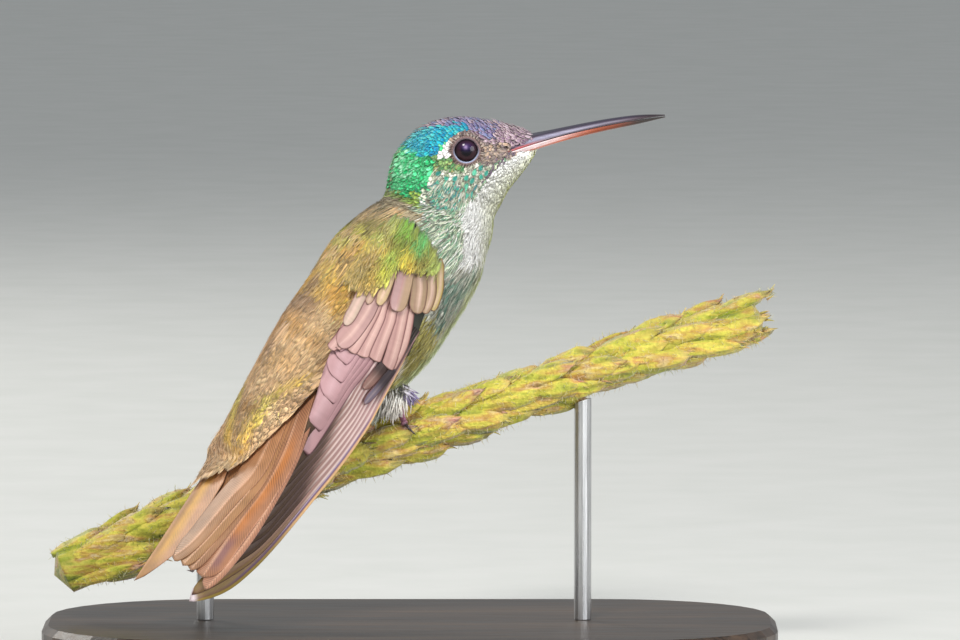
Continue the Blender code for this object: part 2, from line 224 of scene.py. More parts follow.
def rampNode(tree, value, stops, interpolation="LINEAR"):
    made = addNode(tree, "ShaderNodeValToRGB")
    ramp = made.color_ramp
    ramp.interpolation = interpolation
    while len(ramp.elements) < len(stops):
        ramp.elements.new(0.5)
    for element, (position, colour) in zip(ramp.elements, stops):
        element.position = position
        element.color = (*colour, 1) if len(colour) == 3 else colour
    tree.links.new(value, made.inputs[0])
    return made.outputs[0]


def newGroup(name, inputs, outputs):
    group = bpy.data.node_groups.new(name, "ShaderNodeTree")
    for label, kind, value in inputs:
        socket = group.interface.new_socket(label, in_out="INPUT", socket_type=kind)
        socket.default_value = value
    for label, kind in outputs:
        group.interface.new_socket(label, in_out="OUTPUT", socket_type=kind)
    return group, group.nodes.new("NodeGroupInput"), group.nodes.new("NodeGroupOutput")


def buildBarbs():
    # fine barbs that slant from the shaft towards the tip, on a vane map in centimetres
    group, start, end = newGroup(
        "featherBarbs",
        [("Per Centimetre", "NodeSocketFloat", 40.0), ("Slant", "NodeSocketFloat", 1.2),
         ("Raggedness", "NodeSocketFloat", 0.5)],
        [("Line", "NodeSocketFloat"), ("Ridge", "NodeSocketFloat"), ("Patchy", "NodeSocketFloat")],
    )
    vane = addNode(group, "ShaderNodeUVMap", uv_map="vane").outputs[0]
    parts = addNode(group, "ShaderNodeSeparateXYZ", {0: vane})
    across = mathNode(group, "ABSOLUTE", parts.outputs[0])
    wander = addNode(group, "ShaderNodeTexNoise", {"Vector": vane, "Scale": 9.0, "Detail": 2.0})
    shift = mathNode(group, "MULTIPLY", wander.outputs[0], start.outputs["Raggedness"])
    slanted = mathNode(group, "MULTIPLY", across, start.outputs["Slant"])
    along = mathNode(group, "SUBTRACT", parts.outputs[1], slanted)
    turns = mathNode(group, "MULTIPLY", along, start.outputs["Per Centimetre"])
    turns = mathNode(group, "ADD", turns, shift)
    wave = mathNode(group, "SINE", mathNode(group, "MULTIPLY", turns, 2 * math.pi))
    line = mathNode(group, "MULTIPLY_ADD", wave, 0.5, 0.5)
    patchy = addNode(group, "ShaderNodeTexNoise", {"Vector": vane, "Scale": 3.0, "Detail": 3.0})
    group.links.new(line, end.inputs["Line"])
    group.links.new(line, end.inputs["Ridge"])
    group.links.new(patchy.outputs[0], end.inputs["Patchy"])
    return group


barbGroup = buildBarbs()


def featherMaterial(name, barbs, contrast, bump, gloss, sheen):
    # colour from the feather's own attribute, whose alpha says how metallic the sheen is
    material, tree, shader = newMaterial(
        name, **{"Sheen Weight": sheen, "Sheen Roughness": 0.4, "Coat Roughness": 0.35, "IOR": 1.5,
                 "Specular IOR Level": 0.3}
    )
    colour = addNode(tree, "ShaderNodeAttribute", attribute_name="tint")
    pattern = addNode(tree, "ShaderNodeGroup", node_tree=barbGroup)
    pattern.inputs["Per Centimetre"].default_value = barbs
    patchy = mathNode(tree, "MULTIPLY_ADD", pattern.outputs["Patchy"], 3.0, -0.9, clamp=True)
    dark = mathNode(tree, "MULTIPLY", pattern.outputs["Line"], mathNode(tree, "MULTIPLY", patchy, contrast))
    shade = mathNode(tree, "SUBTRACT", 1.0 + contrast * 0.4, dark)
    tree.links.new(scaled(tree, colour.outputs["Color"], shade), shader.inputs["Base Color"])
    metal = mathNode(tree, "MULTIPLY", colour.outputs["Alpha"], 0.75)
    tree.links.new(metal, shader.inputs["Metallic"])
    rough = mathNode(tree, "MULTIPLY_ADD", colour.outputs["Alpha"], -0.22, gloss)
    tree.links.new(rough, shader.inputs["Roughness"])
    addBump(tree, shader, pattern.outputs["Ridge"], bump, 0.00003)
    return material


# the bird's own directions and its skin, in millimetres
body = {
    "pitch": 50, "yaw": 35, "chest": (-1.94, 0.54, 52.9),
    # place along the trunk, dorsal shift, half depth, half width
    "trunk": [(-35.2, 4.0, 0.4, 3.0), (-33, 4.7, 2.5, 7.4), (-27.5, 4.6, 4.5, 7.7), (-21, 3.3, 7.2, 7.7),
              (-14, 1.5, 9.8, 8.4), (-7, 0.5, 10.7, 9), (0, 0.5, 10.8, 9.2), (6.3, -0.3, 9.7, 8.6)],
    # centre, backward lean, yaw, half depth, half width
    "neckAndHead": [((3.1, 3.6, 60.1), 60, 26, 8.6, 7.6), ((4.0, 4.0, 62.3), 62, 19, 8.3, 7.0),
                    ((4.9, 4.4, 66.0), 55, 13, 8.4, 6.6), ((7.2, 4.7, 69.0), 45, 9, 7.9, 6.3),
                    ((9.8, 4.95, 70.6), 38, 6, 6.6, 5.7), ((12.5, 5.2, 71.3), 32, 5, 5.0, 4.6),
                    ((15.2, 5.45, 71.9), 32, 5, 3.1, 3.0), ((17.6, 5.65, 72.5), 32, 5, 1.2, 1.4)],
    "coatDepth": 0.5,
    "rightShare": [0.05, 0.12, 0.42, 0.76, 1.0],  # of the half width, where the tail's right side lies open
}


def sectionDirections(lean, yaw):
    lean, yaw = math.radians(lean), math.radians(yaw)
    dorsal = (-math.sin(lean) * math.cos(yaw), -math.sin(lean) * math.sin(yaw), math.cos(lean))
    return np.array(dorsal), np.array((math.sin(yaw), -math.cos(yaw), 0.0))


trunkUp, trunkRight = sectionDirections(body["pitch"], body["yaw"])
trunkAlong = np.cross(trunkUp, trunkRight)
chest = np.array(body["chest"])


def trunkPoint(along, up, right):
    along, up, right = (np.asarray(v, float)[..., None] for v in (along, up, right))
    return chest + trunkAlong * along + trunkUp * up + trunkRight * right


def bodySections():
    rows = []
    for along, up, depth, width in body["trunk"]:
        rows.append([*trunkPoint(along, up, 0), *trunkUp, *trunkRight, depth, width])
    for centre, lean, yaw, depth, width in body["neckAndHead"]:
        dorsal, right = sectionDirections(lean, yaw)
        rows.append([*centre, *dorsal, *right, depth, width])
    return np.array(rows)


sections = bodySections()
lastPlace = len(sections) - 1


def skinBase(place, turn, inset):
    row = curveAt(sections, place)
    centre, dorsal, right = row[..., 0:3], unit(row[..., 3:6]), unit(row[..., 6:9])
    depth, width = row[..., 9:10] - inset, row[..., 10:11] - inset
    turn = np.asarray(turn, float)[..., None]
    share = np.interp(place, np.arange(5), body["rightShare"])[..., None]
    width = width * np.where(np.sin(turn) > 0, share + (1 - share) * (1 - np.sin(turn)) ** 2, 1)
    depth, width = np.maximum(depth, 0.15), np.maximum(width, 0.15)
    return centre + dorsal * depth * np.cos(turn) + right * width * np.sin(turn)


def skinPoint(place, turn, lift=0.0, inset=None):
    # point over the skin, with its normal, its bill-to-tail direction and both step sizes
    inset = body["coatDepth"] if inset is None else inset
    place, turn = np.broadcast_arrays(np.asarray(place, float), np.asarray(turn, float))
    e = 0.02
    p0 = skinBase(place, turn, inset)
    forward = (skinBase(np.minimum(place + e, lastPlace), turn, inset)
               - skinBase(np.maximum(place - e, 0), turn, inset))
    step = np.minimum(place + e, lastPlace) - np.maximum(place - e, 0)
    forward = forward / step[..., None]
    around = (skinBase(place, turn + e, inset) - skinBase(place, turn - e, inset)) / (2 * e)
    normal = unit(np.cross(forward, around))
    outward = p0 - curveAt(sections[:, :3], place)
    normal *= np.sign(np.sum(normal * outward, axis=-1, keepdims=True))
    lift = np.broadcast_to(np.asarray(lift, float), place.shape)[..., None]
    return (p0 + normal * lift, normal, -unit(forward), np.linalg.norm(forward, axis=-1),
            unit(around), np.linalg.norm(around, axis=-1))


def meshFromArrays(name, verts, faceBlocks, material, tint=None, maps=None):
    # verts in millimetres; each block holds faces with the same number of corners
    mesh = bpy.data.meshes.new(name)
    mesh.vertices.add(len(verts))
    mesh.vertices.foreach_set("co", (np.asarray(verts) * mm).astype(np.float32).ravel())
    corners = np.concatenate([b.ravel() for b in faceBlocks])
    counts = np.concatenate([np.full(len(b), b.shape[1]) for b in faceBlocks])
    mesh.loops.add(len(corners))
    mesh.loops.foreach_set("vertex_index", corners.astype(np.int32))
    mesh.polygons.add(len(counts))
    mesh.polygons.foreach_set("loop_start", (np.cumsum(counts) - counts).astype(np.int32))
    mesh.update(calc_edges=True)
    mesh.validate()
    if tint is not None:
        layer = mesh.attributes.new("tint", "FLOAT_COLOR", "POINT")
        layer.data.foreach_set("color", np.asarray(tint, np.float32).ravel())
    for label, uv in (maps or {}).items():
        layer = mesh.uv_layers.new(name=label)
        layer.data.foreach_set("uv", np.asarray(uv, np.float32)[corners].ravel())
    mesh.materials.append(material)
    mesh.shade_smooth()
    obj = bpy.data.objects.new(name, mesh)
    bpy.context.scene.collection.objects.link(obj)
    return obj


def triangleCount(obj):
    return sum(len(p.vertices) - 2 for p in obj.data.polygons)


# where the colours of the plumage lie
headPlan = {"between": (7.27, 4.85, 71.44), "yaw": 5, "spread": 4.4, "eyeRadius": 2.3, "eyeOpening": 1.6,
            "lidOuter": 1.95}
headYaw = math.radians(headPlan["yaw"])
headForward = np.array((math.cos(headYaw), math.sin(headYaw), 0))
headSide = np.array((math.sin(headYaw), -math.cos(headYaw), 0))
headUp = np.array((0.0, 0.0, 1.0))
betweenEyes = np.array(headPlan["between"])


def headPlace(points):
    # forward and up from the eye, and out to either side
    d = points - betweenEyes
    return d @ headForward, d[..., 2], np.abs(d @ headSide)


def trunkPlace(points):
    d = points - chest
    return d @ trunkAlong, d @ trunkUp, d @ trunkRight


def insideArea(x, y, corners, soft=0.15):
    # 1 inside a closed outline, 0 outside, soft along its edge
    corners = np.array(corners, float)
    nearest = np.full(x.shape, 1e9)
    inside = np.zeros(x.shape, bool)
    for (ax, ay), (bx, by) in zip(corners, np.roll(corners, -1, axis=0)):
        ex, ey = bx - ax, by - ay
        t = np.clip(((x - ax) * ex + (y - ay) * ey) / max(ex * ex + ey * ey, 1e-9), 0, 1)
        nearest = np.minimum(nearest, np.hypot(x - ax - t * ex, y - ay - t * ey))
        if by != ay:
            crosses = ((ay > y) != (by > y)) & (x < ex * (y - ay) / (by - ay) + ax)
            inside ^= crosses
    return smooth(-soft, soft, np.where(inside, nearest, -nearest))


# outlines on the side of the head, in millimetres forward of and above the eye's middle
headAreas = {
    "crown": [(-9.5, 2.0), (-7.5, 4.5), (-3, 7), (4, 7), (13, 2), (13, -0.6), (6.0, 0.6), (2.8, 0.8),
              (1.7, 1.8), (0.4, 2.6), (-3.2, 3.1), (-6.6, 2.0)],
    "violet": [(-5.9, 2.5), (-4.4, 3.5), (-1.4, 4.3), (1.8, 4.2), (4.8, 2.7), (3.4, 1.2), (1.2, 2.2),
               (0.3, 2.8), (-3.2, 3.1)],
    "azure": [(-8.7, 0.3), (-8.8, 1.6), (-7.4, 2.2), (-5.6, 2.5), (-3.8, 2.9), (-1.4, 3.3), (0.6, 2.9),
              (0.0, 2.2), (-1.6, 1.8), (-2.7, 1.0), (-3.3, 0.2), (-4.0, -0.6), (-5.0, -1.3), (-6.3, -0.8),
              (-7.7, -0.2)],
    "emerald": [(-13, 1.0), (-8.6, 1.4), (-8.4, 0.0), (-6.2, -0.7), (-4.8, -1.4), (-4.0, -0.9), (-4.0, -3.4),
                (-4.6, -5.2), (-7.6, -6.4), (-13, -5)],
    "ear": [(-4.6, -0.7), (-1.7, -0.9), (-1.0, -1.8), (0.2, -2.0), (0.8, -2.7), (-1.5, -3.2), (-4.4, -3.4)],
    "goldenNape": [(-14, -3.8), (-9.4, -4.2), (-7.0, -5.2), (-6.2, -6.6), (-6.8, -8.0), (-8, -9), (-14, -9)],
    "whiteSpot": [(-1.6, 1.3), (-2.6, 0.9), (-3.3, 0.0), (-4.2, -0.7), (-2.9, -1.0), (-1.6, -0.9)],
    "lore": [(1.2, 1.3), (2.7, 0.9), (5.8, 0.6), (6.6, -0.1), (4.9, -1.3), (3.2, -2.2), (1.2, -1.8)],
    "cheek": [(-4.8, -3.0), (0, -2.8), (1.6, -1.7), (3.0, -2.2), (4.6, -1.5), (4.9, -1.2), (3.3, -3.2),
              (1.9, -5.2), (0.2, -7.2), (-2, -7.6), (-5.2, -5)],
    "throat": [(9.0, -0.2), (8.0, -0.4), (5.6, -1.4), (4.4, -2.4), (3.4, -3.6), (2.3, -5.0), (1.2, -6.5),
               (-0.4, -8.1), (-0.9, -9.8), (-0.6, -12), (-0.9, -16), (14, -18), (14, -0.5)],
    "gape": [(6.0, 0.5), (9.4, 2.1), (12, 2.8), (12, 0.3), (10.5, 0.1), (8.3, -0.3), (7.0, 0.1)],
}
malarLine = [(6.6, -0.5), (5.1, -1.2), (4.3, -1.8), (3.7, -2.6), (3.1, -3.4)]
# middles of the round cheek spots, row under row
cheekSpots = [(2.0, -2.3), (2.7, -3.0), (1.1, -2.9), (2.0, -3.5), (0.8, -4.1), (0.0, -3.8), (-1.6, -4.0),
              (-2.8, -4.1), (-3.8, -3.5), (-3.8, -4.7), (-5.0, -5.2), (-6.0, -5.6), (-2.3, -5.4), (-1.2, -5.5),
              (0.1, -5.0), (1.4, -4.9), (-4.1, -5.9), (-3.1, -6.5), (-1.9, -6.6), (-0.8, -6.2), (0.4, -6.3),
              (-5.2, -6.5), (-4.5, -7.3), (-2.8, -7.6), (-1.4, -7.8), (-3.7, -8.2)]

# each plumage: tints from dark to light, edge tint, how pale the edges are, metallic sheen, patchiness
plumages = {
    "crown": ([(86, 62, 88), (120, 90, 114), (148, 120, 142), (176, 148, 160), (204, 186, 200)],
              (224, 206, 204), 0.7, 0.25, 0.2),
    "violet": ([(98, 74, 112), (106, 100, 150), (116, 134, 178), (142, 122, 162), (178, 156, 186)],
               (206, 196, 216), 0.45, 0.3, 0.2),
    "azure": ([(4, 116, 164), (8, 154, 196), (30, 184, 206), (96, 214, 210)], (140, 224, 220), 0.25, 0.4, 0.4),
    "emerald": ([(10, 116, 66), (22, 170, 98), (52, 208, 130), (98, 230, 160), (176, 244, 202)],
                (176, 240, 196), 0.2, 0.4, 0.35),
    "ear": ([(50, 110, 66), (92, 150, 84), (134, 176, 100), (150, 148, 92), (186, 194, 138)], (210, 212, 176),
            0.3, 0.2, 0.3),
    "goldenNape": ([(98, 130, 56), (146, 184, 78), (184, 210, 98), (222, 218, 132)], (220, 224, 164), 0.25,
                   0.3, 0.4),
    "napeBrown": ([(100, 100, 66), (132, 124, 88), (158, 142, 108), (168, 140, 118)], (186, 168, 140), 0.3,
                  0.1, 0.5),
    "whiteSpot": ([(246, 243, 240), (250, 248, 246)], (255, 255, 252), 0.3, 0.0, 0.0),
    "lore": ([(76, 58, 66), (112, 92, 98), (144, 124, 118), (190, 160, 136), (222, 206, 192)], (222, 210, 196),
             0.45, 0.0, 0.3),
    "cheek": ([(128, 124, 104), (150, 176, 136), (206, 208, 186), (232, 232, 218), (240, 232, 224)],
              (240, 240, 228), 0.4, 0.0, 0.1),
    "cheekSpot": ([(30, 106, 100), (44, 136, 116), (84, 172, 140)], (170, 208, 186), 0.6, 0.3, 0.1),
    "cheekStreak": ([(46, 96, 108), (60, 142, 128), (84, 176, 140), (110, 120, 136)], (190, 210, 200), 0.4,
                    0.2, 0.1),
    "malar": ([(78, 58, 84), (112, 92, 108)], (206, 200, 204), 0.35, 0.1, 0.0),
    "throat": ([(236, 236, 234), (244, 243, 240), (250, 248, 246)], (252, 252, 250), 0.3, 0.0, 0.5),
    # painted green light reflected onto the front of the throat
    "chinGreenReflection": ([(196, 202, 128), (212, 216, 150), (230, 232, 192)], (232, 234, 196), 0.3, 0.0, 0.3),
    "side": ([(98, 90, 78), (96, 122, 92), (92, 170, 126), (206, 220, 182), (238, 238, 222), (250, 248, 240)],
             (248, 248, 238), 0.3, 0.05, 0.1),
    "ruff": ([(128, 108, 84), (164, 146, 112), (190, 176, 140), (206, 192, 164)], (216, 204, 180), 0.35, 0.1,
             0.5),
    "back": ([(172, 136, 104), (208, 168, 124), (228, 188, 138), (242, 206, 152), (250, 222, 164)],
             (242, 218, 176), 0.15, 0.15, 0.5),
    "scapular": ([(112, 112, 54), (152, 152, 66), (190, 186, 84), (222, 208, 104), (238, 216, 120)],
                 (232, 226, 146), 0.2, 0.2, 0.8),
    "shoulder": ([(80, 100, 46), (118, 126, 56), (154, 148, 70), (184, 186, 80), (206, 208, 98),
                  (230, 218, 118)],
                 (228, 228, 150), 0.2, 0.3, 0.3),
    "rump": ([(190, 152, 114), (218, 178, 136), (232, 196, 150), (242, 208, 162)], (242, 216, 176), 0.15, 0.1,
             0.5),
    "breast": ([(118, 116, 100), (158, 158, 142), (190, 190, 176), (218, 216, 204)], (224, 222, 210), 0.35,
               0.0, 0.4),
    "breastGreen": ([(70, 98, 84), (96, 134, 118), (136, 162, 146)], (182, 198, 180), 0.3, 0.1, 0.2),
    # olive-yellow: painted green light reflected onto a greyish-white belly
    "belly": ([(116, 106, 44), (150, 138, 60), (180, 168, 84), (206, 196, 124)], (212, 206, 146), 0.25, 0.0,
              0.5),
    # painted green light reflected onto the front of the belly
    "bellyGreenReflection": ([(170, 180, 112), (194, 202, 142), (212, 220, 176)], (226, 232, 196), 0.3, 0.0, 0.4),
    "vent": ([(184, 170, 144), (212, 200, 178), (236, 228, 214)], (242, 236, 224), 0.3, 0.0, 0.3),
}
# patches of colour on the back and rump seen from the right, the gold ones painted glints and the rest the
# plumage's own mottling: forward, height, radius and tint
backPatches = [
    (-11.9, 56.2, 1.1, (232, 196, 96)), (-8.8, 58.3, 0.9, (204, 200, 92)), (-8.6, 57.0, 0.8, (236, 186, 96)),
    (-6.1, 60.2, 1.1, (206, 204, 84)), (-6.6, 57.6, 0.8, (226, 182, 90)), (-10.9, 53.8, 1.5, (232, 194, 92)),
    (-12.6, 51.7, 1.2, (236, 196, 98)), (-7.8, 53.2, 0.9, (246, 206, 92)), (-9.6, 51.0, 1.4, (236, 182, 86)),
    (-9.9, 49.3, 1.1, (240, 190, 96)), (-14.0, 50.5, 1.2, (172, 136, 102)), (-13.2, 53.0, 1.0, (160, 124, 86)),
    (-8.7, 55.2, 1.2, (168, 136, 80)), (-6.0, 54.2, 1.5, (160, 142, 74)), (-4.0, 56.0, 1.1, (206, 216, 112)),
    (-4.1, 58.6, 1.0, (186, 214, 108)), (-5.0, 61.0, 1.0, (140, 130, 56)), (-15.9, 47.2, 1.4, (216, 168, 104)),
    (-19.4, 44.9, 1.6, (182, 146, 116)), (-10.6, 59.6, 1.0, (172, 140, 92)),
    (-22.6, 36.9, 0.9, (236, 176, 84)), (-21.3, 35.7, 1.0, (166, 124, 82)), (-23.7, 33.4, 0.9, (170, 130, 88)),
    (-25.3, 32.0, 0.8, (230, 180, 84)), (-13.9, 39.3, 0.9, (236, 196, 96)), (-15.7, 38.6, 0.9, (234, 198, 96)),
    (-17.4, 37.5, 1.0, (226, 204, 98)), (-18.9, 36.0, 1.0, (224, 208, 100)),
    (-20.2, 34.3, 1.0, (232, 208, 98)), (-21.3, 32.8, 1.0, (236, 200, 94)), (-22.2, 31.4, 0.9, (238, 196, 90)),
    (-23.6, 29.6, 0.8, (230, 182, 88)), (-12.9, 45.0, 1.3, (222, 178, 122)),
    (-17.0, 42.0, 1.5, (228, 186, 132)), (-3.2, 60.9, 0.8, (96, 130, 44)), (-2.2, 59.8, 0.8, (132, 196, 86))]
waveRng = np.random.default_rng(21)
waveWays = unit(waveRng.normal(size=(26, 3))) / waveRng.uniform(0.45, 1.3, (26, 1))
waveStarts = waveRng.uniform(0, 2 * math.pi, 26)


def mottle(points, size):
    # smooth patchy pattern from -1 to 1, with patches about this many millimetres across
    waves = np.cos(points @ (waveWays.T * 2 / size) + waveStarts)
    return np.clip(waves.sum(-1) / math.sqrt(26), -1.6, 1.6) / 1.6


def pick(name, chance, patch):
    tints, _, _, _, patchy = plumages[name]
    tone = np.clip(0.5 + patchy * patch * 0.75 + (1 - 0.6 * patchy) * (chance - 0.5), 0, 1)
    return linear(curveless(tints, tone))


def curveless(tints, tone):
    tints = np.array(tints, float)
    at = tone * (len(tints) - 1)
    return np.stack([np.interp(at, np.arange(len(tints)), tints[:, k]) for k in range(3)], -1)


def markings(points, place, turn, chance, border):
    # body tint, edge tint, how pale the edges are and metallic sheen at points on the skin
    hx, hz, _ = headPlace(points)
    s, p, q = trunkPlace(points)
    turn = np.mod(turn, 2 * math.pi)
    under = np.minimum(turn, 2 * math.pi - turn)  # 0 along the back, pi along the belly
    patch = mottle(points, 3.2)
    tint = pick("back", chance, patch)
    edge = np.broadcast_to(linear(plumages["back"][1]), tint.shape).copy()
    pale = np.full(tint.shape[:-1], plumages["back"][2])
    sheen = np.full(tint.shape[:-1], plumages["back"][3])

    def lay(name, mask):
        chosen = mask > border
        tint[chosen] = pick(name, chance, patch)[chosen]
        edge[chosen] = linear(plumages[name][1])
        pale[chosen] = plumages[name][2]
        sheen[chosen] = plumages[name][3]

    lay("rump", smooth(-9, -15, s))
    lay("scapular", smooth(-12, -3, s) * smooth(5.2, 4.2, s) * smooth(0.28, 0.62, under) * (0.9 + 0.3 * patch))
    lay("napeBrown", smooth(3, 6, s) * smooth(0.5, 0.2, under) * 0.7)
    ways = trunkPoint(s, p, np.abs(q))
    seenX, seenZ = ways[..., 0], ways[..., 2] + 0.07 * ways[..., 1]
    upper = smooth(1.7, 1.3, under) * smooth(7.4, 6.9, place)
    fleck = mottle(points, 1.3)
    for x, z, radius, shade in backPatches:
        away = np.hypot(seenX - x, seenZ - z) / radius
        share = np.clip(np.exp(-(away**2)) * (1.6 + 0.9 * fleck + 0.5 * (chance - 0.5)), 0, 0.95) * upper
        tint = mix(tint, linear(shade), share)
    lay("ruff", smooth(6.9, 7.4, place) * smooth(0.9, 0.6, under))
    lay("ruff", smooth(5.3, 5.9, place) * smooth(0.4, 0.7, under) * smooth(7.8, 7.2, place))
    lay("side", smooth(6.5, 7.0, place) * smooth(0.75, 0.95, under))
    lay("side", smooth(7.3, 7.9, place) * smooth(0.5, 0.8, under))
    lay("side", smooth(5.7, 6.4, place) * smooth(0.95, 1.15, under))
    lower = smooth(1.6, 1.85, under) * (place < 8.2)
    lay("breast", lower * (s > -8))
    lay("breastGreen", lower * (s > -5) * smooth(2.5, 2.1, under) * (0.45 + 0.4 * patch))
    # painted green light reflected onto the belly, strongest along its front
    lay("belly", lower * smooth(-1.5, -6.5, s))
    lay("bellyGreenReflection", lower * smooth(2.15, 2.65, under) * smooth(-17, -12, s))
    flank = smooth(-8.5, -12.5, s) * smooth(2.45, 2.05, under) * (s > -16)
    lay("vent", lower * np.maximum(smooth(-13, -16, s), flank) * (s > -27))
    head = place > 8.4
    ragged = 0.9 * (chance - 0.5), 0.9 * (np.mod(chance * 7.3, 1) - 0.5)  # areas of the head meet unevenly
    lay("side", head * 1.0)
    lay("emerald", head * (hx < -2.5) * (hz > -3.4))  # shows where the ragged areas meet
    lay("azure", head * (hx < -0.5) * (hz > 1.0) * (hz < 3.0))
    lay("crown", head * (((hx >= -0.5) & (hz > 0.0)) | (hz >= 3.0)))
    lay("lore", head * (hx > 1.6) * (hz <= 0.0) * (hz > -1.2))
    lay("goldenNape", head * insideArea(hx, hz, headAreas["goldenNape"], 0.9))
    for name, soft in (("emerald", 0.6), ("crown", 0.3), ("violet", 1.0), ("azure", 0.5)):
        lay(name, head * insideArea(hx + ragged[0], hz + ragged[1], headAreas[name], soft))
    lay("napeBrown", head * smooth(0.16, 0.0, under) * (hx < -3.5) * 0.6)
    for name, soft in (("ear", 0.4), ("cheek", 0.3), ("lore", 0.3)):
        lay(name, head * insideArea(hx, hz, headAreas[name], soft))
    lay("lore", head * smooth(2.5, 2.2, np.hypot(hx, hz)) * (under > 0.5))
    lay("throat", (place > 6.4) * insideArea(hx, hz, headAreas["throat"], 0.3))
    # painted green light reflected onto the front of the throat and neck, yellow-green along the middle of the
    # underside
    lay("chinGreenReflection", (place > 6.4) * smooth(2.55, 3.0, under))
    tint = mix(tint, linear((210, 216, 140)), 0.5 * (place > 6.4) * smooth(1.95, 2.75, under))
    line = np.full(hx.shape, 9.0)
    for (ax, az), (bx, bz) in zip(malarLine, malarLine[1:]):
        t = np.clip(((hx - ax) * (bx - ax) + (hz - az) * (bz - az)) / ((bx - ax) ** 2 + (bz - az) ** 2), 0, 1)
        line = np.minimum(line, np.hypot(hx - ax - t * (bx - ax), hz - az - t * (bz - az)))
    lay("malar", head * (line < 0.3) * 0.35)
    lay("whiteSpot", head * insideArea(hx, hz, headAreas["whiteSpot"], 0.12))
    return tint, edge, pale, sheen


# the skin under the feathers
def buildSkin():
    rows, columns = 300, 128
    place = np.linspace(0, lastPlace, rows)[:, None] * np.ones((1, columns))
    turn = np.linspace(0, 2 * math.pi, columns, endpoint=False)[None, :] * np.ones((rows, 1))
    points = skinPoint(place, turn)[0]
    quads, *fans = tubeFaces(rows, columns)
    half = np.full(place.shape, 0.5)
    tint = markings(points, place, turn, half, half)[0]
    ends = np.array([points[0].mean(0), points[-1].mean(0)])
    verts = np.vstack([points.reshape(-1, 3), ends])
    colour = withAlpha(tint * 0.75).reshape(-1, 4)
    colour = np.vstack([colour, colour[:1], colour[-1:]])
    uv = np.stack([turn / (2 * math.pi), place / lastPlace], -1).reshape(-1, 2)
    uv = np.vstack([uv, [[0.5, 0]], [[0.5, 1]]])
    skin = meshFromArrays("skin", verts, [quads[:, ::-1], *fans], skinMaterial, colour, {"OFBake": uv})
    cleanUp(skin)
    return finishPiece(skin, "plumage", "trunk", "neck", "head")


def buildSkinMaterial():
    material, tree, shader, noise = tintMaterial(
        "skinAndDown", 1400.0, 4.0, 0.6, 0.6, **{"Roughness": 0.85, "Sheen Weight": 0.3})
    addBump(tree, shader, noise, 0.5, 0.0001)
    return material


skinMaterial = buildSkinMaterial()
coatMaterial = featherMaterial("contourFeathers", barbs=42.0, contrast=0.38, bump=0.35, gloss=0.58, sheen=0.25)
quillMaterial = featherMaterial("flightFeathers", barbs=36.0, contrast=0.14, bump=0.25, gloss=0.5, sheen=0.02)
tailMaterial = featherMaterial("tailFeathers", barbs=19.0, contrast=0.55, bump=0.35, gloss=0.45, sheen=0.02)
skin = buildSkin()
print("skin:", triangleCount(skin), "triangles")


# feathers over the skin
def tractRoots(start, end, spacing, jitter=0.18):
    # rows of roots across a stretch of the skin, staggered like shingles
    places, turns = [], []
    fine = np.linspace(0, 2 * math.pi, 721)
    place, row = start, 0
    while place < end:
        _, _, _, alongStep, _, aroundStep = skinPoint(np.full(721, place), fine)
        length = np.concatenate([[0], np.cumsum((aroundStep[1:] + aroundStep[:-1]) / 2 * np.diff(fine))])
        count = max(6, int(length[-1] / spacing))
        at = (np.arange(count) + 0.5 * (row % 2)) * length[-1] / count
        at = at + rng.uniform(-jitter, jitter, count) * spacing
        turns.append(np.interp(np.mod(at, length[-1]), length, fine))
        step = 0.87 * spacing / np.median(alongStep)
        places.append(place + rng.uniform(-jitter, jitter, count) * step)
        place += step
        row += 1
    return np.concatenate(places), np.concatenate(turns)


def vaneGrid(rows, columns):
    # one closed thin vane: a top grid and an under grid that share their rim
    top = np.arange(rows * columns).reshape(rows, columns)
    under = top.copy()
    inner = np.arange((rows - 2) * (columns - 2)).reshape(rows - 2, columns - 2) + rows * columns
    under[1:-1, 1:-1] = inner
    faces = []
    for grid, flip in ((top, False), (under, True)):
        quads = np.stack([grid[:-1, :-1], grid[:-1, 1:], grid[1:, 1:], grid[1:, :-1]], -1).reshape(-1, 4)
        faces.append(quads[:, ::-1] if flip else quads)
    return np.concatenate(faces), rows * columns + inner.size


def vaneMesh(name, top, normal, thickness, tint, vane, bake, material):
    # top has shape (feathers, rows, columns, 3)
    count, rows, columns = top.shape[:3]
    faces, perVane = vaneGrid(rows, columns)
    inner = (slice(None), slice(1, -1), slice(1, -1))
    under = (top - normal * thickness)[inner]

    def both(values, size):
        flat = values.reshape(count, -1, size)
        return np.concatenate([flat, values[inner].reshape(count, -1, size)], 1).reshape(-1, size)

    verts = np.concatenate([top.reshape(count, -1, 3), under.reshape(count, -1, 3)], 1).reshape(-1, 3)
    quads = (faces[None] + (np.arange(count) * perVane)[:, None, None]).reshape(-1, 4)
    maps = {"vane": both(vane, 2)}
    if bake is not None:
        patch = bake[:, None, None, :]
        spread = np.linspace(-0.0015, 0.0015, columns)[None, None, :] * np.ones(vane.shape[:3])
        reach = np.linspace(-0.0015, 0.0015, rows)[None, :, None] * np.ones(vane.shape[:3])
        maps["OFBake"] = both(patch + np.stack([spread, reach], -1), 2)
    return meshFromArrays(name, verts, [quads], material, both(tint, 4), maps)


def keepOffEye(place, turn, lean, length):
    # shorten feathers that would reach over an eye; 0 drops those that start there
    steps = np.linspace(0, 1, 9)[None, :]
    _, _, _, alongStep, _, aroundStep = skinPoint(place, turn)
    at = place[:, None] - length[:, None] * np.cos(lean)[:, None] * steps / alongStep[:, None]
    round_ = turn[:, None] + length[:, None] * np.sin(lean)[:, None] * steps / aroundStep[:, None]
    points = skinPoint(at, round_)[0]
    hx, hz, _ = headPlace(points)
    near = (np.hypot(hx, hz) < headPlan["lidOuter"]) & (at > 9)
    first = np.where(near.any(1), near.argmax(1), 9)
    return length * np.where(first == 0, 0, np.clip((first - 1) / 8 + 0.02, 0, 1))


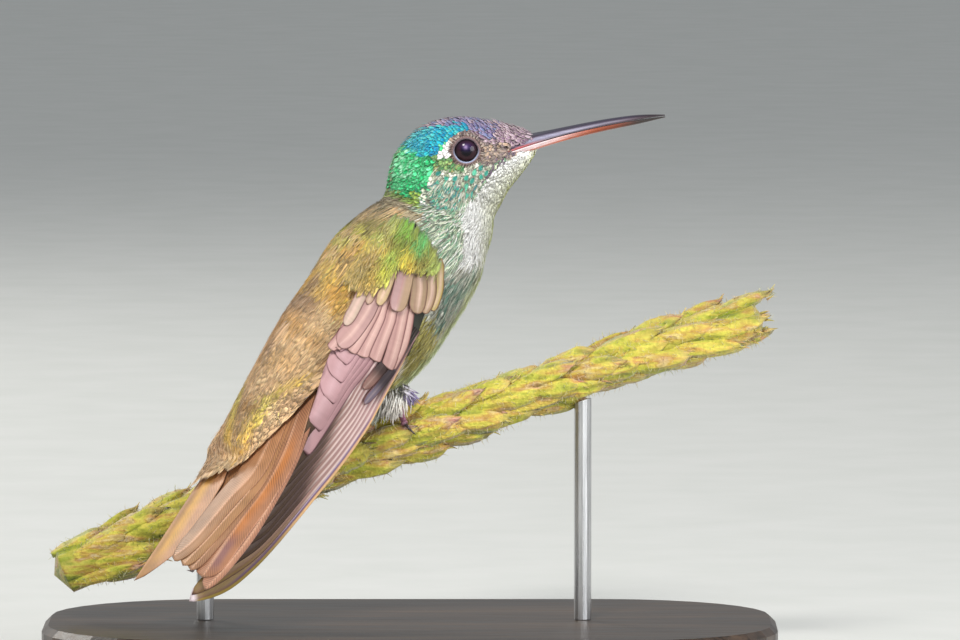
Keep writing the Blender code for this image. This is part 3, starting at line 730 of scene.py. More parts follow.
def vaneShape(count, rows, columns, tip, tooth):
    # how far along and across each point of a vane is: tips are round, with uneven barbs
    t, w = np.linspace(0, 1, rows), np.linspace(-1, 1, columns)
    reach = 1 - tip * (1 - np.sqrt(np.clip(1 - (np.abs(w) * 0.98) ** 2.2, 0, 1)))
    reach = reach[None, :] + tooth * rng.uniform(-1, 0.4, (count, columns))
    return t, w, t[None, :, None] * reach[:, None, :]


def vaneTints(tint, edge, pale, t, w, streak, dark):
    # root to tip and edge to edge, with streaks along the barbs
    edgeness = np.maximum(np.abs(w)[None, None, :] ** 4, smooth(0.8, 1.0, t)[None, :, None])
    share = edgeness * pale[:, None, None]
    colour = mix(tint[:, None, None, :], edge[:, None, None, :], share)
    shade = dark + (1 - dark) * smooth(0.1, 0.6, t)[None, :, None]
    barbs = 1 + streak * rng.uniform(-1, 1, (len(tint), 1, len(w)))
    return np.clip(colour * (shade * barbs)[..., None], 0, 1), share


def buildCoat(name, start, end, spacing, length, width, lift, mask, lean=0.0, tip=0.45, tooth=0.2,
              cup=0.03, wiggle=0.1, rows=5, columns=9, streak=0.22, taper=0.25, thick=0.03, vary=0.07,
              jitter=0.18, dark=0.8, roots=None, plumage=None):
    # feathers of one tract: roots over a stretch of skin, each vane lying towards the tail
    place, turn = tractRoots(start, end, spacing, jitter) if roots is None else roots
    chance = rng.random(len(place))
    border = rng.uniform(0.2, 0.8, len(place))
    points = skinPoint(place, turn)[0]
    keep = mask(points, place, turn) > rng.random(len(place)) * 0.5 + 0.25
    place, turn, chance, border = (a[keep] for a in (place, turn, chance, border))
    count = len(place)
    long = length * rng.uniform(0.85, 1.15, count)
    wide = width * rng.uniform(0.9, 1.1, count)
    side = np.where(np.mod(turn, 2 * math.pi) < math.pi, 1, -1)
    slant = lean(skinPoint(place, turn)[0], place) if callable(lean) else lean
    leaning = side * slant + rng.normal(0, wiggle, count)
    short = keepOffEye(place, turn, leaning, long)
    good = short > 0.3 * long
    place, turn, chance, border, long, wide, leaning, short = (
        a[good] for a in (place, turn, chance, border, long, wide, leaning, short))
    wide = wide * (0.6 + 0.4 * short / long)
    long = short
    count = len(place)
    t, w, tau = vaneShape(count, rows, columns, tip, tooth)
    # the centre line runs over the skin
    _, _, _, alongStep, _, aroundStep = skinPoint(place, turn)
    lineT = np.linspace(0, 1.1, 8)
    at = place[:, None] - long[:, None] * np.cos(leaning)[:, None] * lineT / alongStep[:, None]
    around = turn[:, None] + long[:, None] * np.sin(leaning)[:, None] * lineT / aroundStep[:, None]
    over = np.maximum(0, -at)  # past the end of the trunk a feather runs straight on
    at = np.clip(at, 0.02, lastPlace - 0.02)
    centre, normal, back, stepHere, _, aroundHere = skinPoint(at, around)
    centre = centre + back * (over * stepHere)[..., None]
    rise = lift[0] + (lift[1] - lift[0]) * lineT**1.1
    rise = rise[None, :] * rng.uniform(0.85, 1.15, count)[:, None]
    centre = centre + normal * rise[..., None]
    # read the centre line where each vane point needs it
    index = np.clip(tau / 1.1 * 7, 0, 6.999)
    low = index.astype(int)
    part = (index - low)[..., None]
    who = np.arange(count)[:, None, None]
    line = centre[who, low] * (1 - part) + centre[who, low + 1] * part
    up = unit(normal[who, low] * (1 - part) + normal[who, low + 1] * part)
    ahead = unit(centre[:, -1] - centre[:, 0])[:, None, None, :]
    out = unit(np.cross(up, ahead))
    girth = aroundHere[who, low]
    profile = 0.35 + 0.65 * smooth(0, 0.5, tau) - taper * smooth(0.6, 1.05, tau)
    offset = w[None, None, :] * wide[:, None, None] * np.maximum(profile, 0.06)
    drop = offset**2 / (2 * np.maximum(girth, 1.5)) + cup * np.abs(w)[None, None, :] ** 2 * wide[:, None, None]
    top = line + out * offset[..., None] - up * drop[..., None]
    tipPlace = np.clip(place - 0.7 * long * np.cos(leaning) / alongStep, 0, lastPlace)
    tipTurn = turn + 0.7 * long * np.sin(leaning) / aroundStep
    tint, edge, pale, sheen = markings(skinPoint(tipPlace, tipTurn)[0], tipPlace, tipTurn, chance, border)
    if plumage:
        tint = pick(plumage, chance, 0.0)
        edge, pale = np.tile(linear(plumages[plumage][1]), (count, 1)), np.full(count, plumages[plumage][2])
        sheen = np.full(count, plumages[plumage][3])
    tint = tint * rng.uniform(1 - vary, 1 + vary, (count, 1))
    colour, share = vaneTints(tint, edge, pale, t, w, streak, dark)
    tintAll = withAlpha(colour, sheen[:, None, None] * (1 - 0.6 * share))
    vane = np.stack([offset / 10, tau * long[:, None, None] / 10 + chance[:, None, None]], -1)
    bake = np.stack([np.mod(turn, 2 * math.pi) / (2 * math.pi), place / lastPlace], -1)
    bake = np.clip(bake, 0.002, 0.998)
    obj = vaneMesh(name, top, up, thick, tintAll, vane, bake, coatMaterial)
    finishPiece(obj, "plumage")
    print(name, count, "feathers", triangleCount(obj), "triangles")
    return obj


# the folded wings
wingPlan = {
    # edges of the folded wing: along, up, right in the trunk's directions
    "leading": [(4.2, 6.2, 7.4), (2.0, 0.6, 9.3), (-5, -2.2, 9.3), (-11.5, -3.7, 8.4), (-20, -4.9, 7.4),
                (-28.8, -5.1, 6.7), (-38, -4.6, 5.9), (-48, -3.5, 4.9), (-53.2, -1.5, 3.9), (-55.8, 1.1, 3.4)],
    "inner": [(6, 8.2, 5), (1, 8.9, 6), (-7, 8.8, 6.6), (-14.5, 7.9, 7), (-20, 5.8, 7.2), (-26, 2.6, 7.2),
              (-35, 1.4, 6.2), (-46, 1.6, 5), (-53.8, 1.9, 3.8), (-55.9, 1.4, 3.4)],
    "drawnUp": {"right": 0.0, "left": 5.4}, "narrowed": {"right": 0.0, "left": 0.35}, "clearance": 0.4,
    "lowered": {"right": 0.0, "left": 2.6}, "fullness": {"right": 1.0, "left": 0.7}, "lastStep": 9,
    "seenAt": 8.8, "backPerOut": 0.385, "upPerOut": 0.591,
}
edgeSteps = np.linspace(0, wingPlan["lastStep"], 361)
leadingEdge = curveAt(wingPlan["leading"], edgeSteps)
innerEdge = curveAt(wingPlan["inner"], edgeSteps)
meanAlong = (leadingEdge[:, 0] + innerEdge[:, 0]) / 2


def trunkRow(along):
    # place along the skin and the trunk's own row there: along, dorsal shift, half depth, half width
    table = np.array(body["trunk"], float)
    place = np.interp(along, table[:, 0], np.arange(len(table)))
    return place, curveAt(table, place)


def trunkHalfWidth(along, up):
    _, row = trunkRow(along)
    room = np.clip(1 - ((up - row[..., 1]) / row[..., 2]) ** 2, 0, 1)
    beyond = (along < body["trunk"][0][0]) | (along > body["trunk"][-1][0])
    return np.where(beyond, 0, row[..., 3] * np.sqrt(room))


def edgesAt(along):
    step = np.interp(-along, -meanAlong, edgeSteps)
    lead = np.stack([np.interp(step, edgeSteps, leadingEdge[:, k]) for k in range(3)], -1)
    inner = np.stack([np.interp(step, edgeSteps, innerEdge[:, k]) for k in range(3)], -1)
    return step, lead, inner


def shifted(along, up, shift):
    return along - wingPlan["backPerOut"] * shift, up + wingPlan["upPerOut"] * shift


def wingSurface(along, up, rise, word):
    # a point over the folded wing from its place in the trunk's directions
    along, up, rise = np.broadcast_arrays(*(np.asarray(v, float) for v in (along, up, rise)))
    step, lead, inner = edgesAt(along)
    across = np.clip((up - lead[..., 1]) / np.maximum(inner[..., 1] - lead[..., 1], 0.8), 0, 1)
    folded = wingPlan["narrowed"][word] * np.minimum(1, step / 4)
    up = up + folded * (inner[..., 1] - up)
    across = folded + (1 - folded) * across
    along = along + wingPlan["drawnUp"][word] * (step / wingPlan["lastStep"]) ** 2
    up = up - wingPlan["lowered"][word] * across
    rise = rise * wingPlan["fullness"][word]
    out = lead[..., 2] * (1 - across) + inner[..., 2] * across
    side = trunkHalfWidth(along, up) + wingPlan["clearance"]
    out = np.logaddexp(out / 0.6, side / 0.6) * 0.6 + rise
    # the plan's along and up are as seen from the right, so what stands out further shifts back and up
    plain = smooth(-19, -13, along)
    shift = out - (lead[..., 2] * (1 - plain) + wingPlan["seenAt"] * plain)
    return trunkPoint(*shifted(along, up, shift), out * (1 if word == "right" else -1))


def quills(name, feathers, toWorld, slotName, nodes=(), rows=44, thickness=0.1, material=None):
    # flight feathers and coverts from their shafts and the widths of both vanes
    across = np.array([-1, -0.88, -0.68, -0.4, -0.16, 0, 0.16, 0.4, 0.7, 0.9, 0.965, 1])
    t = np.linspace(0, 1, rows)
    tops, normals, tints, vanes = [], [], [], []
    for index, f in enumerate(feathers):
        line = curveAt(f["shaft"], t * (len(f["shaft"]) - 1))
        gaps = np.linalg.norm(np.diff(line, axis=0), axis=1)
        length = np.concatenate([[0], np.cumsum(gaps)])
        even = t**0.9 * length[-1]
        line = np.stack([np.interp(even, length, line[:, k]) for k in range(2)], 1)
        ahead = unit(np.gradient(line, axis=0))
        side = np.stack([ahead[:, 1], -ahead[:, 0]], 1) * f.get("flip", 1)
        fromTip = (length[-1] - even)
        ends = []
        for key, tipKey in (("outer", "outerTip"), ("inner", "innerTip")):
            width = f[key] if np.ndim(f[key]) else [f[key]] * 2
            full = np.interp(t, np.linspace(0, 1, len(width)), width)
            tipLength = f.get(tipKey, f.get("tip", 2.0))
            rounded = np.sqrt(np.clip(1 - np.clip(1 - fromTip / tipLength, 0, 1) ** f.get("blunt", 2.0), 0, 1))
            ends.append(np.maximum(full * rounded * (0.25 + 0.75 * smooth(0, 0.12, t)), 0.04))
        offset = np.where(across[None] < 0, across[None] * ends[0][:, None], across[None] * ends[1][:, None])
        flat = line[:, None, :] + side[:, None, :] * -offset[..., None]
        if "limit" in f:
            flat[..., 1] = np.minimum(flat[..., 1], f["limit"](flat[..., 0]))
        ridge = f.get("ridge", 0.1) * np.exp(-(offset / 0.16) ** 2) * (1 - 0.6 * t[:, None])
        droop = f.get("droop", 0.03) * offset**2 + f.get("edgeDrop", 0.05) * np.abs(across[None]) ** 6
        rise = f["rise"] + f.get("lift", 0.0) * t[:, None] ** 2 + f.get("slope", 0.0) * offset + ridge - droop
        top = toWorld(flat[..., 0], flat[..., 1], rise)
        up = unit(toWorld(flat[..., 0], flat[..., 1], rise + 0.2) - top)
        base = mix(np.array(linear(f["tint"][0])), np.array(linear(f["tint"][1])), smooth(0.1, 0.9, t))
        colour = np.repeat(base[:, None, :], len(across), 1)
        # a dark rim along each vane's edges and tip, partly the feather's own dark margin and partly painted
        # shadow in the gaps between feathers
        rim = linear(f.get("rimTint", (104, 74, 76)))
        fromEdge = np.where(across[None] < 0, ends[0][:, None], ends[1][:, None]) * (1 - np.abs(across))[None]
        rimShare = f.get("rim", 0.7) * smooth(0.22, 0.03, fromEdge)
        rimShare = np.maximum(rimShare, f.get("rim", 0.7) * smooth(0.3, 0.05, fromTip)[:, None])
        colour = mix(colour, rim, rimShare)
        pale = linear(f.get("shaftTint", (224, 190, 178)))
        colour = mix(colour, pale, np.exp(-(offset / 0.12) ** 2) * f.get("shaftShow", 0.6))
        for band in f.get("bands", ()):
            where = smooth(band[0], band[1], offset) * smooth(band[3], band[2], offset)
            where = where * (smooth(band[4], band[5], t) * smooth(band[7], band[6], t))[:, None]
            colour = mix(colour, linear(band[8]), where * band[9])
        colour = colour * (1 + rng.normal(0, 0.02, (rows, 1, 1)))
        tops.append(top)
        normals.append(up)
        tints.append(withAlpha(colour, f.get("sheen", 0.12)))
        vanes.append(np.stack([offset / 10, np.broadcast_to(even[:, None] / 10 + index, offset.shape)], -1))
    obj = vaneMesh(name, np.array(tops), np.array(normals), thickness, np.array(tints), np.array(vanes),
                   None, material or quillMaterial)
    finishPiece(obj, slotName, *nodes)
    print(name, len(feathers), "feathers", triangleCount(obj), "triangles")
    return obj


primaryPlan = {
    "lead": [(-5, -2.7), (-8.4, -3.0), (-11.5, -3.1), (-14.8, -3.5), (-20.4, -5.0), (-27, -5.2), (-31.5, -4.9),
             (-36, -4.7), (-43, -4.2), (-48.2, -3.4), (-51.6, -2.3), (-54.5, -0.4), (-55.9, 1.2)],
    "tips": [-55.9, -55.0, -52.6, -49.6, -46.4, -43.0, -39.6, -36.2, -32.9, -29.8],
    "gap": [(-5, 0.4), (-15, 0.58), (-30, 0.72), (-42, 0.8), (-50, 1.3), (-56, 1.0)],
}


def leadAt(along):
    table = np.array(primaryPlan["lead"])
    return np.interp(-np.asarray(along, float), -table[:, 0], table[:, 1])


def innerLimit(along):
    tuck = 0.8 * np.exp(-(((along + 25.3) / 3.3) ** 2))
    return np.interp(-along, -innerEdge[:, 0], innerEdge[:, 1]) + 0.1 + tuck


def primaries():
    made = []
    gapTable = np.array(primaryPlan["gap"])
    for k, tipAlong in enumerate(primaryPlan["tips"]):
        along = np.linspace(-6, tipAlong, 12)
        gap = np.interp(-along, -gapTable[:, 0], gapTable[:, 1])
        up = leadAt(along) + 0.45 + k * gap
        turnIn = smooth(8, 0, along - tipAlong) * (1.0 if k else 0.15)
        up = up + turnIn * 0.9
        up = np.minimum(up, innerLimit(along) - 0.35 - 0.05 * k)
        # a pale band on the outer vane and a darker line on the inner vane; the dark band at each root is
        # painted shade under the coverts
        bands = [(-0.52, -0.4, -0.25, -0.1, 0, 0.1, 0.45, 0.6, (226, 204, 200), 0.75),
                 (0.1, 0.2, 0.32, 0.5, 0, 0.1, 0.9, 1.0, (128, 92, 98), 0.6),
                 (-3, -2.9, 3, 3.1, -1, -0.9, 0.16, 0.22, (48, 44, 42), 0.9)]
        root, end = (188, 152, 150), (124, 100, 60)
        if k > 1:  # painted shadow of the tail over the middle of the folded wing beside it
            bands.append((-3, -2.9, 3, 3.1, 0.46, 0.6, 0.96, 1.0, (40, 27, 30), 0.75))
        if k == 0:
            # the outermost: tan edge turning olive, a dark purple line, a painted lilac-white highlight beside
            # it, painted shade at the root, and a pale tip
            bands = [(-0.7, -0.6, -0.25, -0.1, 0.0, 0.05, 0.55, 0.8, (222, 178, 128), 0.95),
                     (-0.7, -0.6, -0.25, -0.1, 0.55, 0.8, 1.0, 1.1, (150, 128, 62), 0.95),
                     (-0.12, -0.02, 0.12, 0.26, 0.2, 0.26, 0.8, 0.9, (84, 60, 106), 0.85),
                     (0.3, 0.4, 0.6, 0.8, 0.2, 0.26, 0.6, 0.7, (214, 202, 218), 0.7),
                     (0.0, 0.1, 3, 3.1, -1, -0.9, 0.18, 0.22, (48, 44, 42), 0.9),
                     (-2, -1.9, 3, 3.1, 0.965, 0.985, 1.1, 1.2, (222, 208, 214), 0.85)]
        made.append({
            "shaft": np.stack([along, up], 1), "outer": [0.3, 0.5, 0.55, 0.6], "inner": [0.8, 2.2, 2.8, 2.6],
            "flip": -1, "tip": 3.0, "outerTip": 5.0, "rise": 0.08 + 0.05 * k, "slope": -0.015,
            "tint": [root, end], "limit": innerLimit, "bands": bands, "shaftTint": (112, 76, 76),
            "shaftShow": 0.5, "rimTint": (84, 50, 58), "rim": 0.85, "sheen": 0.1,
        })
    return made


# shaft, and how far the vane beyond it reaches
secondaryShafts = [
    [(-5, 1.8), (-14, 1.4), (-22, 0.8), (-29.8, 0.3)], [(-5, 2.7), (-13, 2.2), (-20, 1.7), (-26.2, 1.0)],
    [(-5, 3.6), (-12, 3.1), (-17, 2.6), (-22.0, 1.8)], [(-5, 4.5), (-11, 4.1), (-15.4, 3.6), (-19.1, 2.8)],
    [(-5, 5.4), (-10, 5.1), (-14, 4.6), (-16.9, 4.1)], [(-5, 6.6), (-9, 6.4), (-13, 6.2), (-16.2, 6.2)],
]


def secondaries():
    return [{
        "shaft": shaft, "outer": [0.4, 0.5, 0.55], "inner": [0.9, 4.2, 4.6], "tip": 1.4, "innerTip": 3.8,
        "blunt": 1.9, "flip": -1, "rise": 0.58 + 0.06 * k, "tint": [(150, 114, 116), (170, 133, 136)],
        "limit": innerLimit, "shaftTint": (166, 126, 130), "shaftShow": 0.4, "rimTint": (104, 62, 74),
        "rim": 1.0,
        "sheen": 0.1, "bands": [(0.6, 1.0, 1.6, 2.2, 0, 0.1, 0.9, 1.0, (200, 168, 172), 0.3)],
    } for k, shaft in enumerate(secondaryShafts)]


# coverts: shaft, outer width, inner width, rise, and tints where they differ from the rest of their row
covertRows = {
    "greater": [
        ([(0, 3.0), (-4.6, 0.7), (-6.9, -0.5), (-9.4, -1.5), (-12.9, -1.9)], 0.75, 1.5, 0.82),
        ([(0, 3.8), (-5, 1.7), (-7.6, 0.5), (-9.6, -0.4), (-12.1, -1.3), (-13.3, -1.5)], 0.85, 1.5, 0.88),
        ([(0, 5.2), (-6.4, 3.1), (-8.0, 2.4), (-10.9, 1.6), (-13.8, 0.8)], 0.85, 1.5, 0.94),
        ([(0, 6.4), (-6.8, 4.8), (-8.7, 4.1), (-11.2, 3.6), (-13.3, 3.2), (-14.6, 2.7)], 0.85, 1.5, 1.0),
        ([(0, 7.0), (-7.3, 5.7), (-9.5, 5.3), (-12.9, 5.0), (-15.3, 4.8)], 0.95, 1.7, 1.06),
        ([(0, 7.2), (-8, 6.4), (-12, 6.3), (-14, 6.6), (-16.2, 7.1)], 0.8, 1.0, 1.1),
        ([(-3, 9.0), (-10, 8.4), (-13.5, 7.8), (-16.9, 7.6)], 0.9, 0.8, 1.12),
        ([(-2, 7.6), (-8, 6.6), (-10.1, 6.4), (-12.9, 6.5), (-15.8, 7.0)], 1.45, 1.8, 1.2, (170, 134, 130)),
        ([(-2, 9.2), (-8.4, 8.6), (-10.8, 8.3), (-13.1, 8.2)], 1.0, 0.95, 1.32, (178, 156, 140)),
    ],
    "median": [
        ([(2, 9.6), (-2, 8.8), (-5, 7.9), (-8.6, 7.0)], 0.85, 0.9, 1.3, (156, 130, 110)),
        ([(2, 8.0), (-3.6, 6.4), (-5.5, 5.9), (-7.6, 5.5)], 1.0, 0.95, 1.36, (172, 150, 110)),
        ([(2.5, 6.4), (-1.2, 4.9), (-3.5, 3.9), (-6.5, 2.7)], 1.7, 1.35, 1.5, (164, 132, 130)),
    ],
    "alula": [
        ([(4, 1.2), (2, -0.2), (0.2, -1.4), (-2.6, -2.3)], 0.7, 2.0, 1.24, (158, 142, 74)),
        ([(4, 2.6), (1, 0.8), (-1.0, -0.7), (-3.7, -1.5)], 0.8, 2.0, 1.3, (144, 120, 90)),
        ([(4, 4.6), (0, 2.5), (-1.6, 1.2), (-4.5, -0.5)], 1.2, 1.6, 1.36, (142, 118, 92)),
    ],
    "under": [
        ([(-9, -2.0), (-12.7, -2.2), (-15, -2.1), (-19.0, -2.2)], 0.65, 0.7, 0.68, (104, 94, 108)),
        ([(-9, -0.5), (-12.3, -0.6), (-15, -0.5), (-17.6, -0.5)], 0.9, 0.8, 0.76, (128, 96, 88)),
    ],
}
covertTints = {"greater": [(152, 114, 108), (174, 136, 130)], "median": [(156, 126, 110), (178, 148, 132)],
               "alula": [(168, 138, 96), (192, 160, 116)], "under": [(90, 66, 60), (140, 110, 110)]}


def coverts(kind):
    made = []
    for shaft, outer, inner, rise, *own in covertRows[kind]:
        tints = [tuple(0.88 * v for v in own[0]), own[0]] if own else covertTints[kind]
        # a painted highlight along the shaft and painted shade towards the outer edge round each covert
        bands = [(-0.5, -0.3, 0.1, 0.5, 0.1, 0.3, 0.8, 1.0, (206, 172, 160), 0.45),
                 (0.3, 0.45, 0.55, 0.75, 0.1, 0.3, 0.9, 1.0, (134, 94, 92), 0.4)]
        if kind == "median" and outer > 1.5:  # the broad one beside the wrist is mauve and tan
            bands = [(-3, -2.9, -0.5, -0.1, 0, 0.1, 1.1, 1.2, (150, 124, 96), 0.9),
                     (-0.1, 0.0, 0.08, 0.2, 0.1, 0.3, 0.8, 1.0, (150, 104, 100), 0.6)]
        if kind == "under":  # dark where the long coverts shade them
            bands = [(-3, -2.9, 3, 3.1, 0.3, 0.35, 0.55, 0.8, (34, 24, 26), 0.85)]
        made.append({
            "shaft": shaft, "flip": -1, "outer": [outer * 0.7, outer, outer],
            "inner": [inner * 0.7, inner, inner],
            "tip": 0.9 if kind == "greater" and not own else 1.8, "blunt": 5.0 if not own else 2.2,
            "rise": rise,
            "tint": tints, "shaftTint": (228, 200, 190), "shaftShow": 0.2, "rimTint": (104, 64, 62),
            "rim": 0.95,
            "droop": 0.02, "edgeDrop": 0.03, "ridge": 0.05, "sheen": 0.1, "bands": bands,
        })
    return made


def wingCore(word):
    # the skin-covered arm, painted dark as the shade under the feathers
    rows, columns = 50, 16
    v = np.linspace(0.03, 0.97, columns)
    steps = np.linspace(0.15, 2.75, rows)
    lead, inner = curveAt(wingPlan["leading"], steps), curveAt(wingPlan["inner"], steps)
    flat = lead[:, None, :2] * (1 - v[None, :, None]) + inner[:, None, :2] * v[None, :, None]
    full = np.sin(np.pi * v)[None, :] * 0.5 * smooth(2.75, 1.6, steps)[:, None]
    top = wingSurface(flat[..., 0], flat[..., 1], 0.02 + full, word)
    bottom = wingSurface(flat[..., 0], flat[..., 1], -0.1, word)
    verts = np.concatenate([top.reshape(-1, 3), bottom.reshape(-1, 3)])
    quads = gridFaces(rows, columns)
    lower = quads[:, ::-1] + rows * columns
    index = np.arange(rows * columns).reshape(rows, columns)
    rim = np.concatenate([index[0, :-1], index[:-1, -1], index[-1, :0:-1], index[:0:-1, 0]])
    after = np.roll(rim, -1)
    wall = np.stack([rim, rim + rows * columns, after + rows * columns, after], 1)
    tint = withAlpha(np.tile(linear((44, 46, 38)), (len(verts), 1)))
    obj = meshFromArrays(f"wing_{word}_arm", verts, [quads, lower, wall], coatMaterial, tint,
                         {"vane": np.zeros((len(verts), 2))})
    cleanUp(obj)
    return finishPiece(obj, "coverts")


# patches of colour over the wrist: along, up, radius and tint
shoulderPatches = [
    (4.8, 9.6, 1.1, (40, 92, 54)), (4.4, 3.4, 1.0, (48, 100, 72)), (3.4, 11.4, 0.9, (112, 160, 64)),
    (3.2, 8.6, 1.1, (146, 204, 84)), (2.9, 5.4, 1.2, (104, 212, 128)), (0.6, 6.2, 1.1, (252, 224, 88)),
    (0.0, 4.4, 1.0, (250, 210, 84)), (1.4, 3.6, 1.2, (154, 140, 74)), (2.6, 1.6, 1.0, (184, 202, 112)),
    (-1.2, 8.4, 1.2, (188, 216, 104)), (-3.4, 8.0, 1.0, (224, 224, 90)), (-0.2, 11.4, 1.0, (186, 206, 90)),
    (-4.6, 10.6, 1.4, (160, 138, 72)), (1.4, 12.6, 1.0, (140, 128, 56)), (-2.4, 12.4, 1.1, (222, 202, 98)),
    (0.9, 7.6, 0.8, (158, 166, 74)), (-1.0, 10.0, 0.9, (228, 196, 92)), (-3.4, 11.4, 1.0, (200, 160, 88)),
    (2.0, 10.4, 0.8, (214, 216, 96)), (0.6, 9.4, 0.7, (130, 122, 56)), (-5.4, 9.0, 0.8, (236, 200, 96)),
]


def shoulderSurface(along, up, rise, word):
    # over the folded wing in front, and down onto the back's own surface behind it
    along, up, rise = np.broadcast_arrays(*(np.asarray(v, float) for v in (along, up, rise)))
    low, high = np.zeros(along.shape), np.full(along.shape, 12.0)
    for _ in range(12):
        out = (low + high) / 2
        shift = out - wingPlan["seenAt"]
        back, raised = shifted(along, up, shift)
        inside = trunkHalfWidth(np.minimum(back, 6.2), raised) > out
        low, high = np.where(inside, out, low), np.where(inside, high, out)
    out = low + 0.1 + rise
    shift = out - wingPlan["seenAt"]
    onBack = trunkPoint(*shifted(along, up, shift), out * (1 if word == "right" else -1))
    return mix(wingSurface(along, up, rise, word), onBack, smooth(6.8, 9.0, up))


def staggered(across, along, spacing, ownRows):
    # a jittered net of roots; ownRows says which of the two directions has its rows offset
    offset = (np.arange(across.shape[ownRows]) % 2) * spacing / 2
    across = across + (offset[:, None] if ownRows == 0 else offset[None, :])
    along = (along + rng.uniform(-0.3, 0.3, along.shape) * spacing).ravel()
    across = (across + rng.uniform(-0.3, 0.3, across.shape) * spacing).ravel()
    return across, along


def lesserCoverts(name, word, spacing, length, width, lift, rows=5, columns=7, taper=0.25, tooth=0.2,
                  streak=0.22, sway=0.12):
    # small glittering feathers over the wrist, or finer strands between them
    along, up = np.meshgrid(np.arange(-7.4, 6.2, spacing * 0.87), np.arange(-2.4, 13.4, spacing),
                            indexing="ij")
    up, along = staggered(up, along, spacing, 0)
    top = 12.8 if word == "right" else 6.0
    area = [(3.4, top), (4.7, 10.5), (5.2, 8), (5.2, 5.4), (4.6, 2.6), (3.6, 0.8), (3.0, 0.6), (2.6, 1.6),
            (2.0, 3.0), (1.2, 4.4), (0.6, 5.6), (0.2, 6.6), (-2.4, 6.8), (-4.4, 7.4), (-5.8, 8.6), (-6.6, 9.8),
            (-6.6, top)]
    if word == "left":
        area = [(a, min(b, top)) for a, b in area]
    keep = insideArea(along, up, area, 0.4) > rng.random(len(along)) * 0.5 + 0.25
    along, up = along[keep], up[keep]
    count = len(along)
    chance = rng.random(count)
    long = length * rng.uniform(0.8, 1.15, count)
    wide = width * rng.uniform(0.85, 1.15, count)
    lean = rng.normal(0.16, sway, count) - 0.25 * smooth(4, 0, up)
    # green in front, then yellow-green and gold towards the long coverts
    tone = 0.45 + 0.3 * (chance - 0.5) + 0.4 * mottle(np.stack([along, up, along * 0], -1), 1.7)
    tone = tone + 0.35 * smooth(3, -3, along)
    tint = linear(curveless(plumages["shoulder"][0], np.clip(tone, 0, 1)))
    likeBack = smooth(7.4, 10.2, up - 0.45 * along)
    backTint = linear(curveless(plumages["back"][0], np.clip(tone * 0.8 - 0.1, 0, 1)))
    tint = mix(tint, backTint * (0.86, 0.84, 0.7), 0.8 * likeBack)
    for s0, p0, radius, shade in shoulderPatches:
        away = np.hypot((along - 1.4 - s0) * 0.8, up - p0) / radius
        tint = mix(tint, linear(shade), np.clip(np.exp(-(away**2)) * rng.uniform(0.6, 1.3, count), 0, 0.95))
    tint = tint * rng.uniform(0.9, 1.1, (count, 1))
    place, _ = trunkRow(along)
    turn = np.arccos(np.clip((up - 0.3) / 10.5, -1, 1)) / (2 * math.pi)
    bake = np.stack([turn if word == "right" else 1 - turn, place / lastPlace], -1)

    def raised(tau, s, p):
        mound = 0.9 * np.sin(np.pi * smooth(-6, 7.5, s)) * smooth(13.0, 6.5, p)
        sunk = smooth(9.6, 12.6, p)
        full = lift[0] + (lift[1] - lift[0]) * tau + mound + 0.4 * smooth(-1.5, -4.5, s)
        return full * (1 - sunk) - 0.3 * sunk
    def surface(a, b, rise):
        return shoulderSurface(a, b, rise, word)

    return flatCoat(name, (along, up), lean, long, wide, raised, surface, tint,
                    plumages["shoulder"][1], plumages["shoulder"][2], chance, bake, "coverts", rows, columns,
                    taper, tooth, streak)


def flatCoat(name, roots, lean, long, wide, raised, toWorld, tint, edge, pale, chance, bake, slot,
             rows, columns, taper, tooth, streak, sheen=0.35, dark=0.75):
    # small feathers over a surface in two flat directions, lying towards lower values of the first
    t, w, tau = vaneShape(len(long), rows, columns, 0.4, tooth)
    lean, long, wide = (v[:, None, None] for v in (lean, long, wide))
    offset = w[None, None, :] * wide * (0.4 + 0.6 * smooth(0, 0.5, tau) - taper * smooth(0.6, 1.05, tau))
    a = roots[0][:, None, None] - tau * long * np.cos(lean) - offset * np.sin(lean)
    b = roots[1][:, None, None] - tau * long * np.sin(lean) + offset * np.cos(lean)
    rise = raised(tau, a, b) - 0.1 * w[None, None, :] ** 2 * wide
    top = toWorld(a, b, rise)
    normal = unit(toWorld(a, b, rise + 0.2) - top)
    colour, share = vaneTints(tint, np.tile(linear(edge), (len(tint), 1)), np.full(len(tint), pale), t, w,
                              streak, dark)
    vane = np.stack([offset / 10, tau * long / 10 + chance[:, None, None]], -1)
    obj = vaneMesh(name, top, normal, 0.03, withAlpha(colour, sheen * (1 - share * 0.6)), vane, bake,
                   coatMaterial)
    print(name, len(tint), "feathers", triangleCount(obj), "triangles")
    return finishPiece(obj, slot)


def buildWing(word):
    def toWorld(a, b, rise):
        return wingSurface(a, b, rise, word)
    quills(f"wing_{word}_primaries", primaries(), toWorld, "quills", (f"wing_{word}_flight",), rows=64)
    quills(f"wing_{word}_secondaries", secondaries(), toWorld, "quills")
    quills(f"wing_{word}_greater_coverts", coverts("under") + coverts("greater"), toWorld, "coverts",
           (f"wing_{word}_coverts",))
    quills(f"wing_{word}_median_coverts", coverts("alula") + coverts("median"), toWorld, "coverts", rows=30)
    wingCore(word)
    lesserCoverts(f"wing_{word}_lesser_coverts", word, 0.55, 2.6, 0.42, (0.85, 1.25))
    lesserCoverts(f"wing_{word}_strands", word, 0.45, 2.6, 0.07, (0.95, 1.6), rows=5, columns=3, taper=0.8,
                  tooth=0.0, streak=0.3, sway=0.3)


# the tail and its coverts
tailPlan = {"rise": 4.5, "tent": 1.6, "middle": 0.8, "half": 9.8}


def tailHeight(right):
    # the tail is a low tent over its middle
    return tailPlan["rise"] - tailPlan["tent"] * ((right - tailPlan["middle"]) / tailPlan["half"]) ** 2


def tailSurface(along, right, rise):
    return trunkPoint(along, tailHeight(right) + rise, right)


